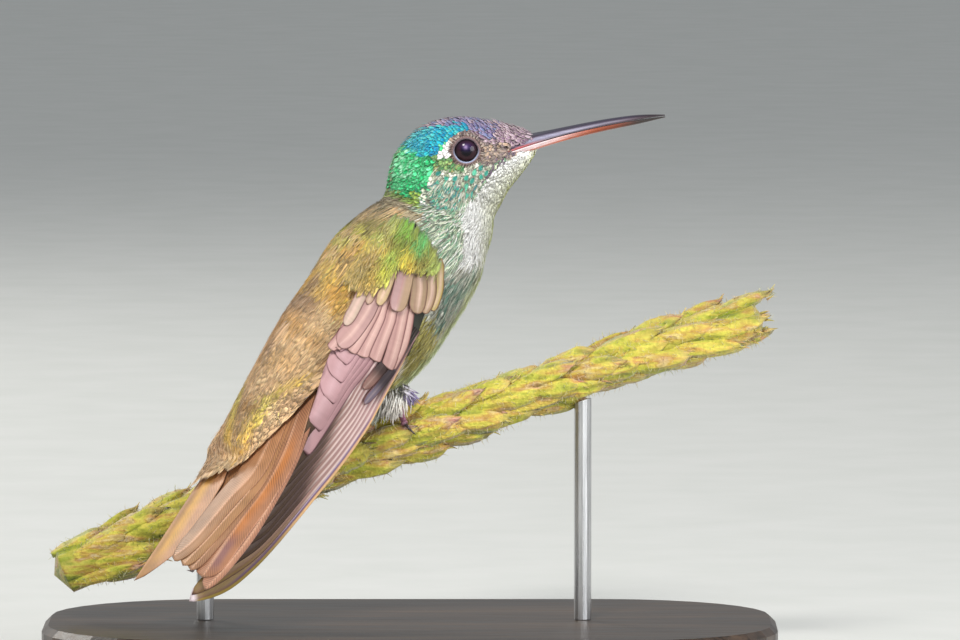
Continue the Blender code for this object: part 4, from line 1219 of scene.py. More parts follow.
# shafts run along and to the right; outer is the vane away from the middle of the tail
rectrices = [
    {"shaft": [(-20, 1.0), (-30.8, 3.4), (-36.4, 4.4), (-41, 3.2), (-47.4, 1.9), (-50, 0.6), (-51.4, -0.9)],
     "outer": [1.5, 2.0, 2.0, 2.1], "inner": [1.8, 3.6, 3.6, 2.8], "rise": 0.34, "tip": 2.6,
     "tint": [(184, 132, 94), (160, 120, 88)],
     "bands": [(0.3, 1.0, 3, 4, 0.4, 0.6, 0.95, 1, (140, 112, 92), 0.5)]},
    {"shaft": [(-20, 1.6), (-30.2, 4.6), (-36.6, 5.9), (-40.3, 5.6), (-43.8, 4.9), (-47.5, 4.1), (-52.5, 2.6)],
     "outer": [1.0, 1.3, 1.6, 1.7], "inner": [2.0, 3, 3], "rise": 0.22, "tip": 2.6,
     "tint": [(176, 126, 88), (164, 122, 84)]},
    {"shaft": [(-20, 1.9), (-30, 5.2), (-37, 6.6), (-43, 6.2), (-48, 5.6), (-52.9, 4.6)],
     "outer": [1.0, 1.1, 1.3], "inner": [2.0, 3, 3], "rise": 0.1, "tip": 2.4,
     "tint": [(172, 124, 90), (160, 118, 88)]},
    {"shaft": [(-15, 1.6), (-21, 3.2), (-29.8, 6.4), (-33.8, 7.4), (-38.1, 7.7), (-43, 7.4), (-47, 7.3),
               (-50.5, 7.3), (-53.4, 7.3)],
     "outer": [1.6, 2.2, 2.8, 2.6], "inner": [2.0, 3, 3], "rise": -0.02, "tip": 3.4,
     "tint": [(172, 122, 92), (164, 116, 88)],
     "bands": [(-1.4, -0.9, -0.1, 0.1, 0.3, 0.45, 0.75, 0.88, (198, 122, 56), 0.6),
               (-1.9, -1.4, -0.2, 0.1, 0.76, 0.84, 0.92, 0.98, (110, 84, 104), 0.5)]},
    {"shaft": [(-13, 2.6), (-19.5, 3.8), (-22.2, 4.9), (-26, 7.0), (-31.4, 8.9), (-37.4, 9.9), (-45, 10.4),
               (-51.3, 9.75), (-55.0, 8.9)],
     "outer": [0.7, 0.8, 0.7, 0.85], "inner": [2.6, 3, 3.2, 2.6], "rise": -0.14, "tip": 3.6,
     "tint": [(164, 116, 92), (176, 128, 104)]},
]
# the left side is nearly hidden under its outermost feather
for k in range(4):
    rectrices.append({
        "shaft": [(-20, -0.4 - 0.4 * k), (-31, -1.4 - 1.5 * k), (-40, -2.4 - 1.7 * k), (-47, -3.0 - 1.5 * k),
                  (-50.4 - 0.9 * k, -3.3 - 1.4 * k)],
        "outer": [1.6, 2.2, 2.2], "inner": [2, 3, 3], "rise": -0.2 - 0.1 * k, "tip": 2.6, "flip": -1,
        "tint": [(176, 126, 88), (160, 118, 84)],
    })
rectrices.append({
    "shaft": [(-20, -2.6), (-26, -5.8), (-32, -8.3), (-37, -9.3), (-43, -9.15), (-49, -8.7), (-55.1, -8.6)],
    "outer": [0.5, 0.55, 0.5], "inner": [2, 5, 8.4, 9.0, 8.0], "rise": 0.2, "tip": 2.0, "innerTip": 5.6,
    "blunt": 1.15, "flip": -1, "tint": [(160, 112, 70), (168, 122, 78)], "droop": 0.0,
    "bands": [(1.2, 2.4, 4.2, 6, 0.4, 0.5, 0.8, 0.95, (214, 164, 74), 0.8),
              (4.5, 5.5, 9, 10, 0.3, 0.5, 0.95, 1.0, (176, 130, 100), 0.6)],
})


def buildTail():
    common = {"shaftTint": (226, 180, 150), "shaftShow": 0.6, "rimTint": (104, 70, 56), "rim": 0.7,
              "sheen": 0.2,
              "edgeDrop": 0.04, "droop": 0.008}
    feathers = [{**common, **f} for f in rectrices]
    quills("tail_feathers", feathers, tailSurface, "quills", ("tail",), rows=60, material=tailMaterial)


# where the tail coverts are rooted, along and to the right, as the tail's surface is seen
covertPlan = {
    "area": [(-35.2, -9.8), (-34.6, -6.6), (-34.4, -2.2), (-32.4, 1.5), (-28.0, 4.2), (-23.6, 5.6),
             (-19.0, 6.4), (-15, 6.8), (-15, -9.5), (-28, -10.4)],
    "lean": [(-9, 0.02), (0, 0.1), (4, 0.26)], "share": [0.1, 0.2, 0.58, 0.86, 1.0],
}


def rumpSurface(along, right, rise):
    # over the tail and, where it stands higher, over the skin of the rump
    along, right = np.broadcast_arrays(np.asarray(along, float), np.asarray(right, float))
    place, row = trunkRow(along)
    share = np.interp(place, np.arange(5), covertPlan["share"])
    wide = (row[..., 3] - 0.4) * np.where(right > 0, share * 0.85 + 0.15, 1)
    out = np.abs(right) / wide
    arch = 0.3 * np.sqrt(np.clip(1 - out**2, 0, 1)) + 0.7 * np.cos(np.clip(out, 0, 1) * math.pi / 2)
    skinUp = row[..., 1] + (row[..., 2] - 0.3) * arch - 2 * np.maximum(out - 1, 0)
    skinUp = skinUp - 3 * smooth(-33.5, -38, along)
    tailUp = tailHeight(right) + 0.5
    higher = skinUp - tailUp
    up = tailUp + 0.5 * (higher + np.sqrt(higher**2 + 0.36))
    return trunkPoint(along, up + rise, right)


def buildTailCoverts(name, spacing, length, width, lift, rows, columns, taper, tooth, streak, sway):
    right, along = np.meshgrid(np.arange(-10.7, 7.2, spacing / 4), np.arange(-36, -15, spacing * 0.87),
                               indexing="ij")
    right, along = staggered(right, along, spacing, 1)
    keep = insideArea(along, right, covertPlan["area"], 0.5) > rng.random(len(along)) * 0.5 + 0.25
    across = rumpSurface(along, right + 0.1, 0.0) - rumpSurface(along, right - 0.1, 0.0)
    steep = np.linalg.norm(across, axis=-1) / 0.2  # more and narrower tufts where the flank falls away
    keep &= rng.random(len(along)) < steep / 4
    along, right, steep = along[keep], right[keep], steep[keep]
    count = len(along)
    chance = rng.random(count)
    place, _ = trunkRow(along)
    turn = np.full(count, 0.4)
    tips = rumpSurface(along - 0.6 * length, right, 0.0)
    tint = markings(tips, np.maximum(place, 0.5), turn, chance, np.full(count, 0.5))[0]
    tint = tint * rng.uniform(0.92, 1.08, (count, 1))
    leanTable = np.array(covertPlan["lean"])
    lean = np.interp(right, leanTable[:, 0], leanTable[:, 1]) + rng.normal(0, sway, count)
    bake = np.stack([np.mod(right / 60, 1), np.clip(place / lastPlace, 0.002, 1)], -1)
    return flatCoat(name, (along, right), lean, length * rng.uniform(0.85, 1.15, count),
                    width * rng.uniform(0.85, 1.15, count) / steep**0.85,
                    lambda tau, a, b: lift[0] + (lift[1] - lift[0]) * tau, rumpSurface, tint,
                    plumages["rump"][1], 0.15, chance, bake, "plumage", rows, columns, taper, tooth, streak,
                    sheen=0.15, dark=0.88)


buildWing("right")
buildWing("left")
buildTail()
buildTailCoverts("coat_tail_coverts", 0.6, 4.0, 0.58, (0.1, 0.4), 6, 9, 0.25, 0.14, 0.18, 0.06)
buildTailCoverts("strands_tail_coverts", 0.5, 3.4, 0.06, (0.1, 0.5), 4, 3, 0.85, 0.0, 0.3, 0.14)


# which tract of feathers grows where on the body
def underWing(points):
    # 1 where the folded wing lies over the body
    s, p, q = trunkPlace(points)
    _, lead, inner = edgesAt(s)
    low = lead[..., 1] + 1.6
    high = inner[..., 1] - 1.6
    return ((p > low) & (p < high) & (np.abs(q) > 2.5) & (s < 3.2)).astype(float)


def faceMask(points, place, turn):
    hx, hz, _ = headPlace(points)
    under = fromBack(turn)
    return (place > 9.6) * smooth(-5.6, -4.6, hx) * smooth(0.75, 0.95, under) * (hz < 2.4)


def crownMask(points, place, turn):
    _, hz, _ = headPlace(points)
    return (place > 10.0) * smooth(1.15, 0.95, fromBack(turn)) * (hz > -1)


def napeMask(points, place, turn):
    hx, hz, _ = headPlace(points)
    under = fromBack(turn)
    low = smooth(-7.0, -6.0, hz + 0.5 * (hx + 7))
    return np.where(hx < -4.4, 1.0, 0.0) * (place > 8.6) * (under < 2.2) * low


def foreheadMask(points, place, turn):
    hx, hz, _ = headPlace(points)
    area = [(5.0, 0.6), (6.4, 0.4), (7.2, 0.5), (8.6, 0.8), (9.7, 1.1), (10.4, 1.4), (10.6, 3.4), (5.0, 3.4)]
    return insideArea(hx, hz, area, 0.15)


def neckMask(points, place, turn):
    return 1 - underWing(points)


def upperMask(points, place, turn):
    return (1 - underWing(points)) * (fromBack(turn) < 1.75)


def lowerMask(points, place, turn):
    under = fromBack(turn)
    s, _, _ = trunkPlace(points)
    hidden = (s < -16) & (under < 2.7) & (np.sin(turn) > 0)
    below = (under > 1.6 + 0.8 * smooth(-18, -26, s)) * (s > -31)
    return (1 - underWing(points)) * below * ~hidden


def chinMask(points, place, turn):
    hx, _, _ = headPlace(points)
    return (fromBack(turn) > 1.5) * (hx > -2.5) * 1.0


def hairs(name, start, end, spacing, length, lift, mask, width=0.06, lean=0.0, wiggle=0.25, rows=5):
    # fine loose barbs over the feathers
    return buildCoat(name, start, end, spacing, length, width, lift, mask, lean=lean, tip=0.0, tooth=0.0,
                     cup=0.0, wiggle=wiggle, rows=rows, columns=3, streak=0.35, taper=0.85, thick=0.03,
                     vary=0.2, jitter=0.5, dark=0.85)


def nearestOnSkin(spots):
    # where on the right side of the skin given places of the head lie
    place, turn = np.meshgrid(np.linspace(8.5, 15, 260), np.linspace(0.2, 2.9, 260), indexing="ij")
    hx, hz, _ = headPlace(skinPoint(place, turn)[0])
    found = [np.argmin((hx - x) ** 2 + (hz - z) ** 2) for x, z in spots]
    return place.ravel()[found], turn.ravel()[found]


def outsideGape(mask):
    def masked(points, place, turn):
        hx, hz, _ = headPlace(points)
        return mask(points, place, turn) * (1 - insideArea(hx, hz, headAreas["gape"], 0.15) * (place > 12))
    return masked


def cheekLean(points, place):
    # feathers sweep back over the face and down over the cheek and the side of the neck
    hz = headPlace(points)[1]
    sweep = np.interp(place, [8, 9.5, 10, 10.5, 11, 11.5, 12, 12.5],
                      [-0.65, -0.65, -0.45, -0.2, 0, 0.2, 0.3, 0.45])
    return sweep * smooth(1.2, -1.0, hz)


def overTail(points, place, turn):
    # where the long coverts over the root of the tail start, as seen from the right
    s, p, q = trunkPlace(points)
    level = (4.9 - p) / 0.44
    s, q = s - 0.37 * level, q + 0.82 * level
    ends = np.interp(q, [-9.9, -6.9, -2.1, 0.5, 3.5, 4.4], [-36.8, -35.2, -34.6, -33.6, -29.3, -24.0])
    covered = (place < 3.2) & (turn > 1.25) & (turn < 1.9)
    return smooth(3.6, 4.6, s - ends) * upperMask(points, place, turn) * ~covered


buildCoat("coat_rump", 0.9, 4.6, 0.88, 4.2, 0.6, (-0.1, 0.3), overTail, tooth=0.12, rows=6, columns=9,
          dark=0.88, streak=0.18, wiggle=0.06)
buildCoat("coat_back", 4.2, 7.9, 0.8, 3.6, 0.62, (-0.1, 0.3), upperMask, tooth=0.12, dark=0.88, streak=0.18,
          wiggle=0.06)
buildCoat("coat_belly", 0.6, 5.0, 1.1, 4.6, 0.9, (-0.1, 0.35), lowerMask, tooth=0.25, rows=6)
buildCoat("coat_breast", 4.8, 8.4, 0.7, 3.4, 0.42, (-0.1, 0.4), lowerMask, tooth=0.3, columns=7, lean=-0.15,
          streak=0.3)
buildCoat("coat_neck", 7.6, 10.4, 0.56, 2.4, 0.24, (-0.1, 0.35), neckMask, tooth=0.25, columns=5,
          lean=cheekLean)
buildCoat("coat_nape", 8.8, 12.2, 0.52, 1.4, 0.36, (0.1, 0.62), napeMask, tooth=0.15, columns=7,
          lean=cheekLean)
buildCoat("coat_face", 9.6, 15.0, 0.42, 1.15, 0.27, (0.0, 0.3), outsideGape(faceMask), tooth=0.15, rows=4,
          columns=5, lean=cheekLean)
buildCoat("coat_crown", 10.2, 15.0, 0.46, 1.1, 0.38, (0.16, 0.5), outsideGape(crownMask), tooth=0.04,
          columns=7, wiggle=0.05)
buildCoat("coat_forehead", 13.2, 14.95, 0.42, 1.3, 0.27, (0.45, 0.75), foreheadMask, tooth=0.06, columns=7)
buildCoat("coat_throat", 9.4, 14.8, 0.5, 2.4, 0.36, (0.0, 0.3), outsideGape(chinMask), tooth=0.2, rows=4,
          columns=7, streak=0.05, vary=0.015, dark=0.96, wiggle=0.05)


def everywhere(points, place, turn):
    return 1.0


def mirrored(spots, ahead):
    # roots for single feathers on both sides, set forward so that their tips cover the given places
    place, turn = nearestOnSkin(spots)
    return np.concatenate([place, place]) + ahead, np.concatenate([turn, 2 * math.pi - turn])


buildCoat("coat_cheek_spots", 0, 0, 1, 1.0, 0.36, (0.2, 0.5), everywhere, tooth=0.08, rows=6, columns=9,
          lean=cheekLean, taper=0.05, roots=mirrored(cheekSpots[:15], 0.16), plumage="cheekSpot", wiggle=0.08)
streakRng = np.random.default_rng(8)
streaks = cheekSpots[10:] + [(x, z) for x, z in zip(streakRng.uniform(-6.6, 1.8, 90),
                                                    streakRng.uniform(-8.6, -4.4, 90))
                             if x + z > -13.4 and z < -4.6 - 0.25 * x and z > -7.2 + 1.2 * x]
buildCoat("coat_cheek_streaks", 0, 0, 1, 1.6, 0.17, (0.2, 0.55), everywhere, tooth=0.3, rows=5, columns=5,
          lean=cheekLean, taper=0.4, roots=mirrored(streaks, 0.16), plumage="cheekStreak", wiggle=0.15)
dashes = [(4.1, -1.2), (5.0, -1.35), (5.6, -0.85), (6.1, -0.5), (6.8, -0.5), (4.3, -2.1), (4.0, -2.5),
          (3.4, -3.0), (4.7, -1.85), (3.2, -3.4), (2.8, -3.7), (3.6, -2.0), (5.3, -1.7), (2.5, -4.2)]
buildCoat("coat_malar", 0, 0, 1, 0.8, 0.13, (0.2, 0.42), everywhere, tooth=0.2, rows=4, columns=5,
          lean=cheekLean, roots=mirrored(dashes, 0.1), plumage="malar", wiggle=0.2)
eyeSpots = [(-1.5, 1.1), (-2.0, 1.0), (-1.7, 0.6), (-2.3, 0.5), (-1.9, 0.1), (-2.5, 0.0), (-2.1, -0.4),
            (-2.8, -0.4), (-2.4, -0.8), (-3.2, -0.7)]
buildCoat("coat_eye_spots", 0, 0, 1, 1.0, 0.3, (0.3, 0.5), everywhere, tooth=0.25, rows=5, columns=7,
          roots=mirrored(eyeSpots, 0.05), plumage="whiteSpot", wiggle=0.1, streak=0.05, dark=0.97)
hairs("strands_rump", 0.9, 4.6, 0.55, 3.2, (0.1, 0.45), overTail, wiggle=0.12, rows=4)
hairs("strands_back", 4.4, 7.9, 0.5, 2.6, (0.1, 0.45), upperMask, wiggle=0.12, rows=4)
hairs("strands_lower", 0.6, 8.2, 0.6, 3.0, (0.1, 0.65), lowerMask, rows=4, lean=-0.15, wiggle=0.15)
hairs("strands_neck", 7.4, 10.4, 0.36, 2.2, (0.1, 0.5), neckMask, width=0.07, lean=cheekLean, rows=4,
      wiggle=0.12)
hairs("strands_head", 9.4, 12.6, 0.42, 1.1, (0.2, 0.75), napeMask, width=0.06, lean=cheekLean, rows=4)


def loose(name, start, way, outward, length, width, tint, tipTint, fall=0.0, slot="plumage", bake=None):
    # single loose barbs from start points along given ways, bending down by fall
    count, rows = len(start), 5
    t = np.linspace(0, 1, rows)
    reach = t[None, :] * np.asarray(length)[:, None]
    line = start[:, None, :] + way[:, None, :] * reach[..., None]
    line = line - headUp * (fall * reach**2)[..., None]
    ahead = unit(np.gradient(line, axis=1))
    across = unit(np.cross(ahead, outward))
    up = unit(np.cross(across, ahead))[:, :, None, :] * np.ones((1, 1, 3, 1))
    half = (width * (1 - 0.8 * t**1.5))[None, :, None, None] * np.array([-1, 0, 1])[None, None, :, None]
    top = line[:, :, None, :] + across[:, :, None, :] * half
    colour = mix(tint[:, None, :], tipTint[:, None, :], smooth(0.35, 0.85, t)[None, :] * np.ones((count, 1)))
    colour = np.repeat(colour[:, :, None, :], 3, 2) * rng.uniform(0.85, 1.1, (count, 1, 1, 1))
    vane = np.zeros(colour.shape[:-1] + (2,))
    bake = np.full((count, 2), 0.5) if bake is None else bake
    obj = vaneMesh(name, top, up, 0.03, withAlpha(colour), vane, bake, coatMaterial)
    print(name, count, "barbs", triangleCount(obj), "triangles")
    return finishPiece(obj, slot)


# eyes and lids
def latheAbout(centre, axis, upward, profile, turns, ripple=None):
    # rings round an axis: profile rows are (radius, height along the axis)
    axis = unit(np.array(axis, float))
    upward = unit(np.array(upward, float) - axis * np.dot(axis, upward))
    across = np.cross(axis, upward)
    angle = np.linspace(0, 2 * math.pi, turns, endpoint=False)
    radius = np.array([row[0] for row in profile])[:, None] * np.ones(turns)
    height = np.array([row[1] for row in profile])[:, None] * np.ones(turns)
    if ripple is not None:
        radius, height = ripple(radius, height, angle[None, :])
    ring = upward * np.cos(angle)[:, None] + across * np.sin(angle)[:, None]
    return centre + ring[None] * radius[..., None] + axis * height[..., None], angle


def buildEyeMaterial():
    material, *_ = tintMaterial(
        "eyeball", 2600.0, 3.0, 0.5, 0.75, **{"Roughness": 0.12, "Coat Weight": 0.12, "Coat Roughness": 0.05,
                                              "IOR": 1.35, "Specular IOR Level": 0.25})
    return material


eyeMaterial = buildEyeMaterial()


def buildEye(side, word):
    centre = betweenEyes + headSide * side * headPlan["spread"]
    radius = headPlan["eyeRadius"]
    angles = np.linspace(0.0, math.pi, 60)
    profile = [(max(radius * math.sin(a), 0.0), radius * math.cos(a)) for a in angles[1:-1]]
    turns = 72
    rings, _ = latheAbout(centre, headSide * side, headUp, profile, turns)
    count = len(profile)
    poles = np.array([centre + headSide * side * radius, centre - headSide * side * radius])
    verts = np.vstack([rings.reshape(-1, 3), poles])
    fromAxis = np.array([p[0] if p[1] > 0 else 3.0 for p in profile])
    around = np.linspace(0, 2 * math.pi, turns, endpoint=False)[None, :]
    tint = np.tile(linear((46, 26, 32)), (count, turns, 1))
    tint = mix(tint, linear((6, 4, 8)), smooth(0.92, 0.66, fromAxis)[:, None] * np.ones((1, turns)))
    tint = mix(tint, linear((18, 10, 16)), smooth(1.2, 1.55, fromAxis)[:, None] * np.ones((1, turns)))
    # painted reflection of the sky: a violet-blue glow in the upper part of the pupil, with a painted
    # highlight in it
    up = fromAxis[:, None] * np.cos(around)
    ahead = fromAxis[:, None] * np.sin(around)
    paintedSkyReflection = np.exp(-(((up - 0.55) / 0.5) ** 2) - (ahead / 0.75) ** 2)
    tint = mix(tint, linear((62, 46, 104)), 0.6 * paintedSkyReflection)
    paintedEyeHighlight = np.exp(-(((up - 0.5) / 0.26) ** 2) - ((ahead - 0.12) / 0.26) ** 2)
    tint = mix(tint, linear((196, 168, 214)), 0.5 * paintedEyeHighlight).reshape(-1, 3)
    tint = np.vstack([tint, linear((8, 5, 9)), linear((20, 14, 16))])
    eye = meshFromArrays(f"eyeball_{word}", verts, tubeFaces(count, turns), eyeMaterial,
                         withAlpha(tint, 1.0))
    cleanUp(eye)
    finishPiece(eye, "eye", f"eye_{word}")


def buildLid(side, word):
    centre = betweenEyes + headSide * side * headPlan["spread"]
    r = headPlan["eyeOpening"]
    profile = [(r - 0.02, 1.52), (r - 0.02, 1.68), (r + 0.04, 1.78), (r + 0.11, 1.80), (r + 0.18, 1.72),
               (r + 0.23, 1.70), (r + 0.3, 1.74), (r + 0.38, 1.66), (r + 0.46, 1.5), (r + 0.6, 1.0),
               (r + 0.7, 0.5), (r + 0.1, 0.5)]
    turns = 160
    lumps = np.array([0, 0, 0, 0, 0.01, 0.03, 0.06, 0.07, 0.05, 0, 0, 0])[:, None]
    phase = np.cumsum(rng.uniform(0.6, 1.4, turns))
    phase = phase / phase[-1] * 2 * math.pi * 26  # uneven little scales

    def ripple(radius, height, angle):
        corner = 0.06 * np.exp(-(np.sin(angle) ** 2 - 1) ** 2 / 0.02)  # the corners of the lids
        return radius + corner * (radius < r + 0.6), height + lumps * np.cos(phase)[None, :]

    rings, angle = latheAbout(centre, headSide * side, headUp, profile, turns, ripple)
    count = len(profile)
    quads = gridFaces(count, turns, wrap=True)
    ring = np.arange(turns)
    joint = np.stack([(count - 1) * turns + ring, (count - 1) * turns + (ring + 1) % turns, (ring + 1) % turns,
                      ring], 1)
    low = smooth(0.3, -0.6, np.cos(angle))[None, :, None]  # paler along the lower lid: a painted highlight where light catches its edge
    rim = mix(np.array(linear((92, 76, 84))), np.array(linear((158, 166, 196))), low[..., 0])
    outer = linear((124, 100, 98)) * (0.75 + 0.6 * np.cos(phase)[None, :, None] ** 2)
    share = np.array([0, 0, 0, 0.1, 0.6, 1, 1, 1, 1, 1, 1, 1])[:, None, None]
    tint = rim * (1 - share) + outer * share
    lid = meshFromArrays(f"eyelid_{word}", rings.reshape(-1, 3), [quads, joint], skinMaterial,
                         withAlpha(tint).reshape(-1, 4))
    cleanUp(lid)
    finishPiece(lid, "plumage")
    # bristles that stand round the eye
    count = 110
    turn = np.linspace(0, 2 * math.pi, count, endpoint=False) + rng.uniform(-0.03, 0.03, count)
    ahead = headForward * np.sin(turn)[:, None] + headUp * np.cos(turn)[:, None]
    start = centre + ahead * (r + rng.uniform(0.28, 0.5, count))[:, None] + headSide * side * 1.62
    way = unit(ahead + headSide * side * 0.12 - headForward * 0.35 + rng.normal(0, 0.15, (count, 3)))
    shades = linear(np.array([(96, 74, 68), (144, 116, 104), (206, 190, 178), (78, 60, 60)]))
    tints = shades[rng.integers(0, 4, count)]
    loose(f"eye_bristles_{word}", start, way, headSide * side, rng.uniform(0.4, 0.65, count), 0.07, tints,
          tints)


for side, word in ((1, "right"), (-1, "left")):
    buildEye(side, word)
    buildLid(side, word)
print("eyes done")


# the bill
billPlan = {
    "arc": [(11.6, 5.1, 70.5), (24.9, 6.3, 74.65), (35.5, 7.2, 75.8)],
    "heights": (1.3, 1.3, 0.98, 0.84, 0.76, 0.6, 0.16),
    "lowerHeights": (0.9, 0.95, 0.82, 0.74, 0.68, 0.56, 0.16),
    "widths": (4.6, 2.85, 1.38, 1.05, 0.9, 0.7, 0.2),
}


def billFrame(t):
    a, b, c = (np.array(p) for p in billPlan["arc"])
    t = np.asarray(t, float)[..., None]
    centre = a * (1 - t) ** 2 + b * 2 * t * (1 - t) + c * t**2
    forward = unit((b - a) * (1 - t) + (c - b) * t)
    right = unit(np.cross(forward, headUp))
    return centre, forward, right, np.cross(right, forward)


def buildBillMaterial():
    material, tree, shader, noise = tintMaterial(
        "bill", 1.0, 4.0, 0.7, 0.62, (200, 2500, 2500),
        **{"Roughness": 0.32, "Coat Weight": 0.5, "Coat Roughness": 0.2, "IOR": 1.5})
    tree.links.new(mathNode(tree, "MULTIPLY_ADD", noise, 0.25, 0.2), shader.inputs["Roughness"])
    addBump(tree, shader, noise, 0.3, 0.00006)
    return material


billMaterial = buildBillMaterial()


def buildBill(upper):
    rings, points = 110, 28
    t = np.linspace(0, 1, rings)
    centre, _, right, up = billFrame(t)
    height = curveAt(np.array(billPlan["heights" if upper else "lowerHeights"])[:, None], t * 6)[:, 0]
    width = curveAt(np.array(billPlan["widths"])[:, None], t * 6)[:, 0]
    turn = np.linspace(0, math.pi, points)
    sine = np.sin(turn)[None, :]
    out = np.sign(np.cos(turn)) * np.abs(np.cos(turn)) ** 0.9
    flip = 1 if upper else -1
    # a raised ridge above, a groove along each side with the nostril in it, and a fine cutting edge
    shape = sine ** (0.9 if upper else 1.1)
    x = out[None, :] * width[:, None]
    y = shape * height[:, None] * flip
    side = np.exp(-((sine - 0.45) / 0.16) ** 2)
    groove = side * smooth(0.62, 0.1, t)[:, None] * (0.16 if upper else 0.1)
    x = x * (1 - groove)
    if upper:
        y = y + 0.1 * np.exp(-((np.cos(turn)) / 0.2) ** 2)[None, :] * smooth(0.9, 0.3, t)[:, None]
        nostril = side * np.exp(-((t[:, None] - 0.13) / 0.035) ** 2) * 0.18
        x = x * (1 - nostril)
    seam = 0.05 * flip
    verts = centre[:, None, :] + right[:, None, :] * x[..., None] + up[:, None, :] * (y + seam)[..., None]
    flat = verts.reshape(-1, 3)
    quads = gridFaces(rings, points)
    j = np.arange(rings - 1) * points
    close = np.stack([j, j + points, j + 2 * points - 1, j + points - 1], 1)
    high = (sine * np.ones((rings, 1)))[..., None]
    if upper:
        tint = mix(np.array(linear((62, 40, 52))), np.array(linear((44, 38, 60))),
                   smooth(0.3, 0.95, high[..., 0]))
        # painted highlight: a broad lilac-white band along the lower side of the upper mandible
        paintedHighlightBand = np.exp(-((high[..., 0] - 0.36) / 0.22) ** 2) * smooth(0.95, 0.25, t)[:, None]
        tint = mix(tint, linear((184, 182, 208)), 0.75 * paintedHighlightBand)
        nearBase = (smooth(0.02, 0.06, t) * smooth(0.26, 0.2, t))[:, None]
        slit = np.exp(-((high[..., 0] - 0.66) / 0.1) ** 2) * nearBase
        tint = mix(tint, linear((56, 26, 44)), 0.85 * slit)
        edge = smooth(0.22, 0.0, high[..., 0]) * smooth(0.3, 0.14, t)[:, None]
        tint = mix(tint, linear((186, 44, 34)), edge)
        tint = mix(tint, linear((40, 32, 34)), smooth(0.72, 0.95, t)[:, None] * 0.8)
    else:
        tint = mix(np.array(linear((214, 104, 62))), np.array(linear((200, 84, 24))),
                   smooth(0.3, 0.8, high[..., 0]))
        tint = tint * np.ones((rings, 1, 1))
        # painted highlight: pinkish-white along the edge of the lower mandible near its base
        pale = smooth(0.78, 0.5, high[..., 0]) * smooth(0.6, 0.2, t)[:, None]
        tint = mix(tint, linear((240, 220, 224)), 0.9 * pale)
        tint = mix(tint, linear((96, 40, 24)), smooth(0.3, 0.62, t)[:, None] * 0.7)
        tint = mix(tint, linear((44, 34, 34)), smooth(0.6, 0.85, t)[:, None])
    tint = withAlpha(tint * np.ones(verts.shape), 1.0).reshape(-1, 4)
    name = "upper" if upper else "lower"
    obj = meshFromArrays(f"bill_{name}_horn", flat, [quads, close, *capFaces(rings, points)], billMaterial,
                         tint)
    cleanUp(obj)
    return finishPiece(obj, "horn", f"bill_{name}")


buildBill(True)
buildBill(False)


# the perch as the feet grip it, then legs and feet
perchPlan = {"height": 32.0, "slope": 0.365, "bend": -0.0007, "half": 48.0, "radii": (3.75, 2.85)}


def perchAxis(x):
    x = np.asarray(x, float)
    centre = np.stack([x, x * 0, perchPlan["height"] + perchPlan["slope"] * x + perchPlan["bend"] * x * x], -1)
    ahead = unit(np.stack([x * 0 + 1, x * 0, perchPlan["slope"] + 2 * perchPlan["bend"] * x], -1))
    return centre, ahead


def perchRadius(x):
    left, right = perchPlan["radii"]
    return left + (right - left) * (np.asarray(x, float) + perchPlan["half"]) / (2 * perchPlan["half"])


def perchPoint(x, turn, radius):
    # turn 0 is the perch's top, and a quarter turn is its near side
    centre, ahead = perchAxis(x)
    up = np.cross(np.array((0.0, -1.0, 0.0)), ahead)
    turn, radius = np.asarray(turn, float)[..., None], np.asarray(radius, float)[..., None]
    return centre + (up * np.cos(turn) + np.array((0.0, -1.0, 0.0)) * np.sin(turn)) * radius


def tubeAlong(path, radii, sides, tints, lumps=None):
    # a closed tube along a path of points, with its verts, faces and tints
    path = np.asarray(path, float)
    ahead = unit(np.gradient(path, axis=0))
    side = np.zeros_like(path)
    last = np.cross(ahead[0], (0.3, 0.5, 0.8))
    for k in range(len(path)):
        last = last - ahead[k] * np.dot(last, ahead[k])
        last = last / np.linalg.norm(last)
        side[k] = last
    other = np.cross(ahead, side)
    turn = np.linspace(0, 2 * math.pi, sides, endpoint=False)
    radii = np.asarray(radii, float)[:, None] * np.ones((1, sides))
    if lumps is not None:
        radii = radii + lumps[:, None]
    ring = side[:, None] * np.cos(turn)[None, :, None] + other[:, None] * np.sin(turn)[None, :, None]
    verts = (path[:, None] + ring * radii[..., None]).reshape(-1, 3)
    verts = np.vstack([verts, path[0] - ahead[0] * radii[0, 0] * 0.3,
                       path[-1] + ahead[-1] * radii[-1, 0] * 0.5])
    tint = np.repeat(np.asarray(tints, float), sides, 0)
    tint = np.vstack([tint, tints[0], tints[-1]])
    return verts, tubeFaces(len(path), sides), tint


def joinParts(name, parts, material):
    verts, tints, groups, shift = [], [], {}, 0  # groups hold faces with the same number of corners
    for partVerts, blocks, tint in parts:
        verts.append(partVerts)
        tints.append(tint)
        for block in blocks:
            groups.setdefault(block.shape[1], []).append(block + shift)
        shift += len(partVerts)
    tint = withAlpha(np.vstack(tints))
    blocks = [np.vstack(group) for group in groups.values()]
    return cleanUp(meshFromArrays(name, np.vstack(verts), blocks, material, tint))


footPlan = {"right": (-0.1, (-12.0, -6.4, 3.0)), "left": (-9.8, (-9.5, -8.0, -2.8))}


